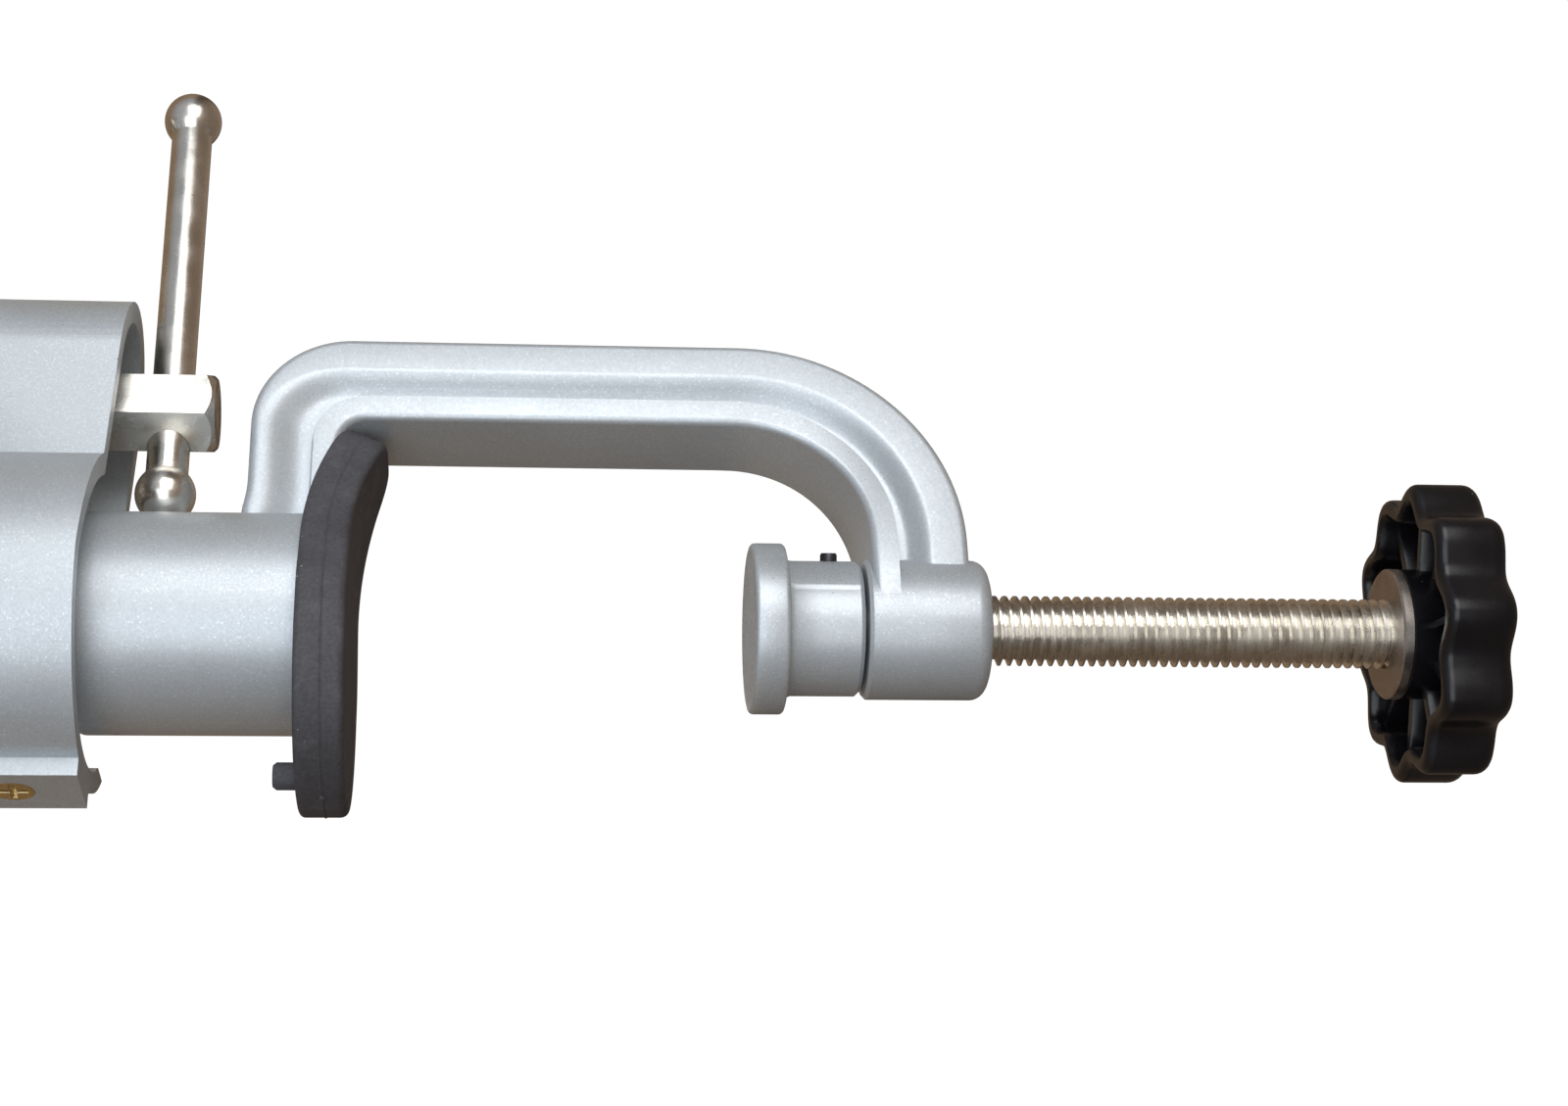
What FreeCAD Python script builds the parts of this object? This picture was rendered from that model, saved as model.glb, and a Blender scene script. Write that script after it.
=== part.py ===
# Table vise: a small vise head on a ball joint, carried by a C clamp that grips a table top.
# Millimetres. +Z is up and +X points to the user. The origin is on the table top, on the post's
# axis, where the flat of the rubber pad rests.
import FreeCAD, Part
import math
import os
from FreeCAD import Vector

X_AXIS = Vector(1, 0, 0)
Y_AXIS = Vector(0, 1, 0)
Z_AXIS = Vector(0, 0, 1)

# Fits between pieces
running_play = 0.05
sliding_play = 0.15
ball_play = 0.1
bolt_play = 0.3
moving_gap = 0.8

# Clamp frame: one casting with an I section, its post, its base plate and its screw boss
spine_outer_x = 42.8
spine_depth = 13.3
frame_half_width = 7.2
upper_arm_top = 15.0
plate_bottom = 2.5
lower_arm_top = -72.9
lower_arm_depth = 13.5
upper_outer_radius = 14.0
upper_inner_radius = 4.0
lower_outer_radius = 32.0
lower_inner_radius = 19.0
outer_rib = 5.9
inner_rib = 3.9
lower_outer_rib = 5.6
groove_depth = 2.3
plate_thickness = 2.5
plate_inset = 2.5
plate_front = 8.0
plate_front_round = 3.0
post_radius = 15.5
post_top = 37.5
post_shoulder = 1.5
boss_radius = 9.95
boss_top = -71.5
boss_bottom = -89.0
boss_round = 2.0
rim_round = 0.7

# Rubber pad moulded over the base plate
pad_rear = -27.0
pad_front = 27.5
pad_half_width = 20.0
pad_front_half_width = 6.0
pad_shoulder_x = -2.0
pad_thickness = 6.7
pad_flat_end = 6.0
pad_bend_radius = 50.0
pad_rear_round = 19.0
pad_side_round = 10.0
pad_front_round = 6.0

# Ball joint between the post and the head
ball_centre_z = 55.0
ball_radius = 15.0
neck_radius = 7.5
stud_radius = 5.0
stud_length = 14.0
liner_thickness = 1.1
liner_base_rise = 14.0

# Clamp screw, swivel foot and star knob
screw_radius = 5.0
foot_face_z = -55.4
foot_flange_radius = 12.1
foot_flange_thickness = 4.8
foot_hub_radius = 9.5
foot_hub_bottom = -70.9
foot_bore_depth = 9.0
spigot_radius = 4.25
spigot_groove_radius = 3.4
spigot_groove_width = 3.0
grub_radius = 1.2
grub_z = -66.6
grub_proud = 1.3
grub_socket_depth = 1.5
grub_angle = -27.0
knob_face_z = -150.0
knob_thickness = 10.2
knob_radius = 21.8
knob_lobes = 10
knob_lobe_depth = 2.6
knob_wall = 2.6
knob_recess = 7.0
knob_hub_radius = 9.4
knob_rib_thickness = 1.6
knob_rib_drop = 2.0
knob_back_round = 2.0
bush_face_z = -147.5
bush_flange_thickness = 1.5
bush_body_radius = 7.0
bush_end_wall = 1.6
screw_end_in_bush = 8.0

# Head casting
head_rim_z = 35.0
nose_rim_drop = 2.6
head_wall = 3.0
lobe_radius = 23.5
lobe_top = 68.0
lobe_round = 3.0
nose_half_width = 13.0
nose_centre_x = 37.5
nose_top = 60.0
lug_rear_x = -25.4
lug_half_width = 5.5
lug_top = 56.0
cavity_top = 51.0
block_rear_x = -24.0
block_front_x = 17.0
block_half_width = 16.2
block_bottom = 64.0
beam_floor_z = 76.0
roof_thickness = 5.0
jaw_half_width = 32.0
jaw_top = 126.0
jaw_cheek_bottom = 94.0
jaw_foot_z = 72.0
jaw_thickness = 13.0
jaw_corner_round = 3.0
cheek_round = 8.0

# Clamp bridge under the ball, its rear screw and its lock bolt
bridge_z = 41.5
bridge_thickness = 5.0
bridge_side_limit = 9.0
bridge_arm_half_width = 8.5
neck_side_room = 2.6
rear_screw_radius = 1.75
rear_screw_head_radius = 2.9
rear_screw_head_height = 1.6
rear_screw_reach = 13.0
screw_cross_half_width = 0.35
screw_cross_reach = 2.0
screw_cross_depth = 0.8
lock_x = 34.0
lock_shank_radius = 4.0
lock_hex_flats = 11.0
lock_corner_turn = 0.0
nut_corner_turn = 30.0
lock_head_bottom = 20.4
lock_chamfer = 1.3
lock_bar_z = 27.0
lock_bar_radius = 3.0
lock_ball_radius = 4.3
lock_bar_inner_x = 20.5
lock_bar_outer_x = 86.0
washer_radius = 8.0
washer_thickness = 1.5
lock_nut_flats = 13.0
lock_nut_height = 6.5
lock_nut_pocket = 4.0

# Moving jaw with its beam, and the screw that drives it
jaw_gap = 25.0
beam_half_width = 11.0
beam_height = 22.0
beam_wall = 3.8
beam_top_wall = 4.0
beam_rear_x = -45.0
moving_jaw_thickness = 12.0
moving_jaw_foot = 14.0
jaw_screw_radius = 6.0
jaw_screw_rise = 10.0
jaw_screw_rear_x = -43.0
front_boss_radius = 11.0
front_boss_length = 4.0
thrust_washer_radius = 10.5
thrust_washer_thickness = 1.5
circlip_thickness = 1.2
circlip_radius = 7.0
circlip_groove_radius = 5.3
jaw_hub_radius = 9.0
jaw_hub_length = 22.5
jaw_hub_round = 1.5
jaw_bar_radius = 3.5
jaw_bar_setback = 6.8
jaw_ball_radius = 4.6
jaw_bar_half_length = 38.0
jaw_nut_rear_x = -16.0
jaw_nut_length = 14.0
jaw_nut_half_width = 6.7
jaw_nut_height = 15.0
jaw_nut_ear_length = 6.5
jaw_nut_ear_thickness = 3.0
circlip_gap_half_width = 1.5
nut_screw_radius = 1.5
nut_screw_head_radius = 2.6
nut_screw_spread = 4.0
nut_screw_length = 10.0

# Steel jaw pads and their screws
jaw_pad_thickness = 3.0
jaw_pad_side_margin = 1.0
jaw_pad_bottom = 106.0
jaw_pad_top_margin = 1.0
pad_screw_radius = 2.0
pad_screw_head_radius = 3.8
pad_screw_spread = 18.0
pad_screw_length = 11.0
groove_pitch = 4.0
groove_cut = 0.6


def cylinder(radius, start, length, axis):
    """A plain cylinder from a start point along an axis."""
    return Part.makeCylinder(radius, length, start, axis)


def block(low, high):
    """A box between its lowest and its highest corner."""
    size = Vector(*high) - Vector(*low)
    return Part.makeBox(size.x, size.y, size.z, Vector(*low))


def sphere(radius, centre):
    """A ball about a centre."""
    return Part.makeSphere(radius, centre)


def in_xz(across, up):
    """Place of an outline point on the upright plane through the X axis."""
    return Vector(across, 0, up)


def in_yz(across, up):
    """Place of an outline point on the upright plane through the Y axis."""
    return Vector(0, across, up)


def in_xy(across, up):
    """Place of an outline point on the level plane."""
    return Vector(across, up, 0)


def rounded_outline(corners, place):
    """Closed outline through corners (across, up, radius), each rounded by a tangent arc."""
    count = len(corners)
    arcs = []
    for index, (across, up, radius) in enumerate(corners):
        here = Vector(across, up, 0)
        before = Vector(*corners[index - 1][:2], 0) - here
        after = Vector(*corners[(index + 1) % count][:2], 0) - here
        before.normalize()
        after.normalize()
        half_angle = before.getAngle(after) / 2
        inward = before + after
        if radius > 0:
            inward.normalize()
        start = here + before * (radius / math.tan(half_angle))
        end = here + after * (radius / math.tan(half_angle))
        middle = here + inward * (radius / math.sin(half_angle) - radius)
        arcs.append((radius, start, middle, end))
    edges = []
    for index, (radius, start, middle, end) in enumerate(arcs):
        last_end = arcs[index - 1][3]
        if last_end.distanceToPoint(start) > 1e-6:
            edges.append(Part.LineSegment(place(*last_end[:2]), place(*start[:2])).toShape())
        if radius > 0:
            points = [place(*point[:2]) for point in (start, middle, end)]
            edges.append(Part.Arc(*points).toShape())
    return Part.Wire(edges)


def slab_y(corners, half_width):
    """An outline drawn on the XZ plane, made solid to both sides along Y."""
    face = Part.Face(rounded_outline(corners, in_xz))
    face.translate(Vector(0, -half_width, 0))
    return face.extrude(Vector(0, 2 * half_width, 0))


def slab_x(corners, low, high):
    """An outline drawn on the YZ plane, made solid from low to high along X."""
    face = Part.Face(rounded_outline(corners, in_yz))
    face.translate(Vector(low, 0, 0))
    return face.extrude(Vector(high - low, 0, 0))


def slab_z(corners, low, high):
    """An outline drawn on the XY plane, made solid from low to high along Z."""
    face = Part.Face(rounded_outline(corners, in_xy))
    face.translate(Vector(0, 0, low))
    return face.extrude(Vector(0, 0, high - low))


def hexagon(flats, x, low, high, first_corner):
    """An upright hexagonal bar centred on x, with its first corner at an angle in degrees from X."""
    corner_radius = flats / math.sqrt(3)
    corners = []
    for index in range(6):
        angle = math.radians(first_corner + 60 * index)
        corners.append((x + corner_radius * math.cos(angle), corner_radius * math.sin(angle), 0))
    return slab_z(corners, low, high)


def countersunk(shank_radius, head_radius, length, face, inward):
    """A flat-headed screw, its head flush with a face and its shank pointing inward."""
    head_height = head_radius - shank_radius
    head = Part.makeCone(head_radius, shank_radius, head_height, face, inward)
    shank = cylinder(shank_radius, face, length, inward)
    return head.fuse(shank).removeSplitter()


spine_inner_x = spine_outer_x - spine_depth
lower_arm_bottom = lower_arm_top - lower_arm_depth
post_axis_top = Vector(0, 0, post_top)
ball_centre = Vector(0, 0, ball_centre_z)
seat_radius = ball_radius + liner_thickness + 2 * ball_play
neck_room = neck_radius + moving_gap
post_room = post_radius + moving_gap
post_swing_radius = ball_centre_z - post_top - bolt_play
cavity_radius = lobe_radius - head_wall
nose_room = nose_half_width - head_wall
rear_screw_z = bridge_z + bridge_thickness / 2
jaw_screw_z = beam_floor_z + jaw_screw_rise
beam_top = beam_floor_z + sliding_play + beam_height
head_top = beam_top + sliding_play + roof_thickness
fixed_face_x = block_front_x + jaw_pad_thickness
moving_face_x = fixed_face_x + jaw_gap
moving_casting_x = moving_face_x + jaw_pad_thickness
moving_front_x = moving_casting_x + moving_jaw_thickness
front_boss_x = moving_front_x + front_boss_length
jaw_hub_x = front_boss_x + thrust_washer_thickness
jaw_pad_middle_z = (jaw_pad_bottom + jaw_top - jaw_pad_top_margin) / 2
channel_half_width = beam_half_width - beam_wall
channel_front_x = moving_casting_x - head_wall


def pad_outline(inset, front, front_round):
    """Plan of the rubber pad: round at the rear, tapering from its shoulder to the given front."""
    side = pad_half_width - inset
    taper = (pad_half_width - pad_front_half_width) / (pad_front - pad_shoulder_x)
    end = side - taper * (front - pad_shoulder_x)
    near = [
        (pad_rear + inset, -side, pad_rear_round - inset),
        (pad_shoulder_x, -side, pad_side_round),
        (front, -end, front_round),
    ]
    return near + [(across, -up, radius) for across, up, radius in reversed(near)]


def clamp_frame():
    """The C casting: an I-section arm, spine and lower arm, with post, base plate and boss."""
    arm = slab_y(
        [
            (0, upper_arm_top, 0),
            (spine_outer_x, upper_arm_top, upper_outer_radius),
            (spine_outer_x, lower_arm_bottom, lower_outer_radius),
            (0, lower_arm_bottom, 0),
            (0, lower_arm_top, 0),
            (spine_inner_x, lower_arm_top, lower_inner_radius),
            (spine_inner_x, plate_bottom, upper_inner_radius),
            (0, plate_bottom, 0),
        ],
        frame_half_width,
    )
    groove = slab_y(
        [
            (0, upper_arm_top - outer_rib, 0),
            (spine_outer_x - outer_rib, upper_arm_top - outer_rib, upper_outer_radius - outer_rib),
            (
                spine_outer_x - outer_rib,
                lower_arm_bottom + lower_outer_rib,
                lower_outer_radius - lower_outer_rib,
            ),
            (0, lower_arm_bottom + lower_outer_rib, 0),
            (0, lower_arm_top - inner_rib, 0),
            (spine_inner_x + inner_rib, lower_arm_top - inner_rib, lower_inner_radius + inner_rib),
            (spine_inner_x + inner_rib, plate_bottom + inner_rib, upper_inner_radius + inner_rib),
            (0, plate_bottom + inner_rib, 0),
        ],
        frame_half_width,
    )
    web_half_width = frame_half_width - groove_depth
    web = block(
        (0, -web_half_width, lower_arm_bottom),
        (spine_outer_x, web_half_width, upper_arm_top),
    )
    arm = arm.cut(groove.cut(web))
    rim_edges = [edge for edge in arm.Edges if lies_on_side(edge, frame_half_width)]
    arm = arm.makeFillet(rim_round, rim_edges)
    post = cylinder(post_radius, Vector(0, 0, plate_bottom), post_top - plate_bottom, Z_AXIS)
    post = post.makeFillet(post_shoulder, [edge_at_z(post, post_top)])
    plate_plan = pad_outline(plate_inset, plate_front, plate_front_round)
    plate = slab_z(plate_plan, plate_bottom, plate_bottom + plate_thickness)
    boss = cylinder(boss_radius, Vector(0, 0, boss_bottom), boss_top - boss_bottom, Z_AXIS)
    boss = boss.makeFillet(boss_round, [edge_at_z(boss, boss_bottom)])
    frame = arm.fuse([post, plate, boss]).removeSplitter()
    stud_hole = cylinder(stud_radius, Vector(0, 0, post_top - stud_length), stud_length, Z_AXIS)
    bore = cylinder(
        screw_radius + running_play,
        Vector(0, 0, boss_bottom),
        boss_top - boss_bottom,
        Z_AXIS,
    )
    return frame.cut(stud_hole).cut(bore)


def lies_on_side(edge, side):
    """True for an edge whose whole length is on one of the two faces at Y = side."""
    box = edge.BoundBox
    return box.YLength < 1e-6 and abs(abs(box.YMin) - side) < 1e-6 and box.XMax > post_radius


def edge_at_z(shape, height):
    """The first edge of a shape that lies level at a height."""
    for edge in shape.Edges:
        box = edge.BoundBox
        if box.ZLength < 1e-6 and abs(box.ZMin - height) < 1e-6:
            return edge
    raise ValueError("no level edge at that height")


def table_pad(frame):
    """The rubber boot: flat under the post, bending down towards the spine, round the plate."""
    bend_centre = Vector(pad_flat_end, 0, -pad_bend_radius)
    bend_end = math.radians(45)
    half_bend = bend_end / 2

    def on_bend(radius, angle):
        return bend_centre + Vector(radius * math.sin(angle), 0, radius * math.cos(angle))

    low = pad_bend_radius
    high = pad_bend_radius + pad_thickness
    low_rear = Vector(pad_rear, 0, 0)
    high_rear = Vector(pad_rear, 0, pad_thickness)
    profile = Part.Wire(
        [
            Part.LineSegment(low_rear, on_bend(low, 0)).toShape(),
            Part.Arc(on_bend(low, 0), on_bend(low, half_bend), on_bend(low, bend_end)).toShape(),
            Part.LineSegment(on_bend(low, bend_end), on_bend(high, bend_end)).toShape(),
            Part.Arc(on_bend(high, bend_end), on_bend(high, half_bend), on_bend(high, 0)).toShape(),
            Part.LineSegment(on_bend(high, 0), high_rear).toShape(),
            Part.LineSegment(high_rear, low_rear).toShape(),
        ]
    )
    sheet = Part.Face(profile)
    sheet.translate(Vector(0, -pad_half_width, 0))
    sheet = sheet.extrude(Vector(0, 2 * pad_half_width, 0))
    plan = pad_outline(0, pad_front, pad_front_round)
    outline = slab_z(plan, -pad_bend_radius, upper_arm_top)
    return sheet.common(outline).cut(frame)


def ball_stud():
    """The ball with its neck, and the spigot that is pressed into the post."""
    neck = cylinder(neck_radius, post_axis_top, ball_centre_z - post_top, Z_AXIS)
    spigot = cylinder(stud_radius, Vector(0, 0, post_top - stud_length), stud_length, Z_AXIS)
    return sphere(ball_radius, ball_centre).fuse([neck, spigot]).removeSplitter()


def ball_liner():
    """The thin friction cap between the top of the ball and the seat in the head."""
    outer = sphere(ball_radius + ball_play + liner_thickness, ball_centre)
    inner = sphere(ball_radius + ball_play, ball_centre)
    reach = lobe_radius
    keep = block(
        (-reach, -reach, ball_centre_z + liner_base_rise),
        (reach, reach, ball_centre_z + reach),
    )
    return outer.cut(inner).common(keep)


def grub_direction():
    """The way the grub screw points out of the foot."""
    angle = math.radians(grub_angle)
    return Vector(math.cos(angle), math.sin(angle), 0)


def swivel_foot():
    """The pressure foot: a flange with a hub, bored from behind for the screw's spigot."""
    flange_bottom = foot_face_z - foot_flange_thickness
    flange = cylinder(foot_flange_radius, Vector(0, 0, flange_bottom), foot_flange_thickness, Z_AXIS)
    hub_length = foot_face_z - foot_hub_bottom
    hub = cylinder(foot_hub_radius, Vector(0, 0, foot_hub_bottom), hub_length, Z_AXIS)
    bore = cylinder(
        spigot_radius + running_play,
        Vector(0, 0, foot_hub_bottom),
        foot_bore_depth,
        Z_AXIS,
    )
    tapped = cylinder(grub_radius, Vector(0, 0, grub_z), foot_flange_radius, grub_direction())
    return flange.fuse(hub).removeSplitter().cut(bore).cut(tapped)


def foot_grub_screw():
    """The grub screw whose tip runs in the spigot's groove and keeps the foot on."""
    inner = spigot_groove_radius + bolt_play
    length = foot_hub_radius + grub_proud - inner
    start = Vector(0, 0, grub_z) + grub_direction() * inner
    body = cylinder(grub_radius, start, length, grub_direction())
    tip = start + grub_direction() * length
    socket = cylinder(grub_radius / 2, tip, grub_socket_depth, grub_direction() * -1)
    return body.cut(socket)


def clamp_spindle():
    """The clamp screw: a turned spigot with a groove, then the threaded length to the knob."""
    shoulder = foot_hub_bottom - bolt_play
    bottom = bush_face_z - screw_end_in_bush
    shank = cylinder(screw_radius, Vector(0, 0, bottom), shoulder - bottom, Z_AXIS)
    spigot_top = foot_hub_bottom + foot_bore_depth - bolt_play
    spigot = cylinder(spigot_radius, Vector(0, 0, shoulder), spigot_top - shoulder, Z_AXIS)
    groove_start = Vector(0, 0, grub_z - spigot_groove_width / 2 - grub_radius / 2)
    groove_length = spigot_groove_width + grub_radius
    groove = cylinder(spigot_radius, groove_start, groove_length, Z_AXIS)
    groove = groove.cut(cylinder(spigot_groove_radius, groove_start, groove_length, Z_AXIS))
    return shank.fuse(spigot).removeSplitter().cut(groove)


def knob_bush():
    """The metal bush moulded into the knob: a flange at its face and a body tapped for the screw."""
    flange_bottom = bush_face_z - bush_flange_thickness
    flange = cylinder(knob_hub_radius, Vector(0, 0, flange_bottom), bush_flange_thickness, Z_AXIS)
    body_bottom = knob_face_z - knob_thickness + bush_end_wall
    body = cylinder(bush_body_radius, Vector(0, 0, body_bottom), flange_bottom - body_bottom, Z_AXIS)
    tapped = cylinder(
        screw_radius,
        Vector(0, 0, bush_face_z - screw_end_in_bush),
        screw_end_in_bush,
        Z_AXIS,
    )
    return flange.fuse(body).removeSplitter().cut(tapped)


def knob_edge():
    """The knob's lobed outline: a circle whose radius follows a cosine wave."""
    steps_per_lobe = 8
    count = knob_lobes * steps_per_lobe
    points = []
    for index in range(count):
        angle = 2 * math.pi * index / count
        dip = knob_lobe_depth * (1 - math.cos(knob_lobes * angle)) / 2
        radius = knob_radius - dip
        points.append(Vector(radius * math.cos(angle), radius * math.sin(angle), 0))
    curve = Part.BSplineCurve()
    curve.interpolate(points, PeriodicFlag=True)
    return Part.Wire(curve.toShape())


def star_knob():
    """The lobed plastic knob: a dished face with ribs round the hub, and a rounded back."""
    back_z = knob_face_z - knob_thickness
    face = Part.Face(knob_edge())
    face.translate(Vector(0, 0, back_z))
    knob = face.extrude(Vector(0, 0, knob_thickness))
    knob = knob.makeFillet(knob_back_round, [edge_at_z(knob, back_z)])
    recess_radius = knob_radius - knob_lobe_depth - knob_wall
    recess_start = Vector(0, 0, knob_face_z - knob_recess)
    recess = cylinder(recess_radius, recess_start, knob_recess, Z_AXIS)
    recess = recess.cut(cylinder(knob_hub_radius, recess_start, knob_recess, Z_AXIS))
    for index in range(knob_lobes):
        rib = block(
            (0, -knob_rib_thickness / 2, knob_face_z - knob_recess),
            (knob_radius, knob_rib_thickness / 2, knob_face_z - knob_rib_drop),
        )
        rib.rotate(Vector(0, 0, 0), Z_AXIS, 360 * index / knob_lobes)
        recess = recess.cut(rib)
    knob = knob.cut(recess)
    hub_length = bush_face_z - bush_flange_thickness - knob_face_z
    hub = cylinder(knob_hub_radius, Vector(0, 0, knob_face_z), hub_length, Z_AXIS)
    knob = knob.fuse(hub).removeSplitter()
    bush_space = cylinder(
        bush_body_radius,
        Vector(0, 0, back_z + bush_end_wall),
        bush_face_z - back_z - bush_end_wall,
        Z_AXIS,
    )
    return knob.cut(bush_space)


def head_skirt():
    """Outer form of the head's lower part: a round lobe, a nose for the lock bolt, a rear lug."""
    low = head_rim_z - nose_rim_drop
    lobe = cylinder(lobe_radius, Vector(0, 0, low), lobe_top - low, Z_AXIS)
    lobe = lobe.makeFillet(lobe_round, [edge_at_z(lobe, lobe_top)])
    nose = block((0, -nose_half_width, low), (nose_centre_x, nose_half_width, nose_top))
    tip = cylinder(nose_half_width, Vector(nose_centre_x, 0, low), nose_top - low, Z_AXIS)
    lug = block((lug_rear_x, -lug_half_width, low), (0, lug_half_width, lug_top))
    skirt = lobe.fuse([nose.fuse(tip).removeSplitter(), lug]).removeSplitter()
    nose_front_x = nose_centre_x + nose_half_width
    below_rim = slab_y(
        [
            (-2 * lobe_radius, head_rim_z, 0),
            (0, head_rim_z, 0),
            (nose_front_x, low, 0),
            (nose_front_x, low - nose_rim_drop, 0),
            (-2 * lobe_radius, low - nose_rim_drop, 0),
        ],
        2 * lobe_radius,
    )
    return skirt.cut(below_rim)


def head_cavity():
    """The hollow under the head: round the post, and along the nose to the lock bolt."""
    low = head_rim_z - nose_rim_drop
    ring = cylinder(cavity_radius, Vector(0, 0, low), cavity_top - low, Z_AXIS)
    channel = block((0, -nose_room, low), (nose_centre_x, nose_room, cavity_top))
    tip = cylinder(nose_room, Vector(nose_centre_x, 0, low), cavity_top - low, Z_AXIS)
    return ring.fuse([channel, tip])


def tilt_slot():
    """The way out for the neck and the post on the +Y side when the head is tipped over."""
    far = lobe_radius + jaw_half_width
    low = head_rim_z - pad_thickness
    neck_way = block((-neck_room, 0, low), (neck_room, far, ball_centre_z))
    neck_end = cylinder(neck_room, ball_centre, far, Y_AXIS)
    post_way = block((-post_room, 0, low), (post_room, far, ball_centre_z))
    swing = cylinder(
        post_swing_radius,
        ball_centre - X_AXIS * post_room,
        2 * post_room,
        X_AXIS,
    )
    post_end = cylinder(post_room, ball_centre + Y_AXIS * post_swing_radius, far, Y_AXIS)
    return [neck_way, neck_end, post_way.cut(swing), post_end]


def jaw_cheeks(foot_half_width, low_x, high_x):
    """A jaw's upright plate: wide cheeks above, drawn in to the body's width below."""
    return slab_x(
        [
            (-foot_half_width, jaw_foot_z, 0),
            (foot_half_width, jaw_foot_z, 0),
            (jaw_half_width, jaw_cheek_bottom, cheek_round),
            (jaw_half_width, jaw_top, jaw_corner_round),
            (-jaw_half_width, jaw_top, jaw_corner_round),
            (-jaw_half_width, jaw_cheek_bottom, cheek_round),
        ],
        low_x,
        high_x,
    )


def pad_screw_points(face_x):
    """Centres of the two screws of a jaw pad, on the pad's working face."""
    return [Vector(face_x, side * pad_screw_spread, jaw_pad_middle_z) for side in (-1, 1)]


def nut_screw_points():
    """Centres of the two screws in the ear of the jaw nut, on the ear's top."""
    x = jaw_nut_rear_x - jaw_nut_ear_length / 2
    z = beam_floor_z + jaw_nut_ear_thickness
    return [Vector(x, side * nut_screw_spread, z) for side in (-1, 1)]


def vise_body(pad_screws, nut_screws):
    """The head casting: skirt, ball seat, beam tunnel and fixed jaw."""
    upper = block(
        (block_rear_x, -block_half_width, block_bottom),
        (block_front_x, block_half_width, head_top),
    )
    cheeks = jaw_cheeks(block_half_width, block_front_x - jaw_thickness, block_front_x)
    body = head_skirt().fuse([upper, cheeks]).removeSplitter()
    tunnel_half_width = beam_half_width + sliding_play
    tunnel = block(
        (block_rear_x, -tunnel_half_width, beam_floor_z),
        (block_front_x, tunnel_half_width, beam_top + sliding_play),
    )
    seat = sphere(seat_radius, ball_centre)
    seat_mouth = cylinder(
        seat_radius,
        Vector(0, 0, cavity_top),
        ball_centre_z - cavity_top,
        Z_AXIS,
    )
    bolt_hole = cylinder(
        lock_shank_radius + bolt_play,
        Vector(lock_x, 0, cavity_top),
        nose_top - cavity_top,
        Z_AXIS,
    )
    nut_pocket = hexagon(lock_nut_flats, lock_x, nose_top - lock_nut_pocket, nose_top, nut_corner_turn)
    screw_head_room = cylinder(
        rear_screw_head_radius,
        Vector(lug_rear_x, 0, rear_screw_z),
        rear_screw_head_height,
        X_AXIS,
    )
    screw_hole = cylinder(
        rear_screw_radius,
        Vector(lug_rear_x, 0, rear_screw_z),
        rear_screw_reach,
        X_AXIS,
    )
    cuts = [head_cavity(), tunnel, seat, seat_mouth, bolt_hole, nut_pocket]
    cuts += [screw_head_room, screw_hole, pad_screws, nut_screws]
    cuts += tilt_slot()
    for tool in cuts:
        body = body.cut(tool)
    return body


def clamp_bridge(rear_screw):
    """The plate under the ball: a fork round the neck, pulled up by the lock bolt."""
    ring = cylinder(cavity_radius - moving_gap, Vector(0, 0, bridge_z), bridge_thickness, Z_AXIS)
    arm = block(
        (0, -bridge_arm_half_width, bridge_z),
        (lock_x, bridge_arm_half_width, bridge_z + bridge_thickness),
    )
    tip = cylinder(bridge_arm_half_width, Vector(lock_x, 0, bridge_z), bridge_thickness, Z_AXIS)
    bridge = ring.fuse([arm, tip]).removeSplitter()
    far = lobe_radius
    beyond = block(
        (-far, bridge_side_limit, bridge_z),
        (far, far, bridge_z + bridge_thickness),
    )
    slot_end = Vector(0, -neck_side_room, bridge_z)
    slot = block(
        (-neck_room, -neck_side_room, bridge_z),
        (neck_room, far, bridge_z + bridge_thickness),
    )
    slot = slot.fuse(cylinder(neck_room, slot_end, bridge_thickness, Z_AXIS))
    bolt_hole = cylinder(
        lock_shank_radius + bolt_play,
        Vector(lock_x, 0, bridge_z),
        bridge_thickness,
        Z_AXIS,
    )
    seat = sphere(ball_radius + ball_play, ball_centre)
    for tool in (beyond, slot, bolt_hole, seat, rear_screw):
        bridge = bridge.cut(tool)
    return bridge


def bridge_screw():
    """The screw through the rear lug that carries the tail of the bridge."""
    start = Vector(lug_rear_x, 0, rear_screw_z)
    head = cylinder(rear_screw_head_radius, start, rear_screw_head_height, X_AXIS)
    shank = cylinder(rear_screw_radius, start, rear_screw_reach, X_AXIS)
    screw = head.fuse(shank).removeSplitter()
    narrow, long = screw_cross_half_width, screw_cross_reach
    for across, up in ((narrow, long), (long, narrow)):
        arm = block(
            (lug_rear_x, -across, rear_screw_z - up),
            (lug_rear_x + screw_cross_depth, across, rear_screw_z + up),
        )
        screw = screw.cut(arm)
    return screw


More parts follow.
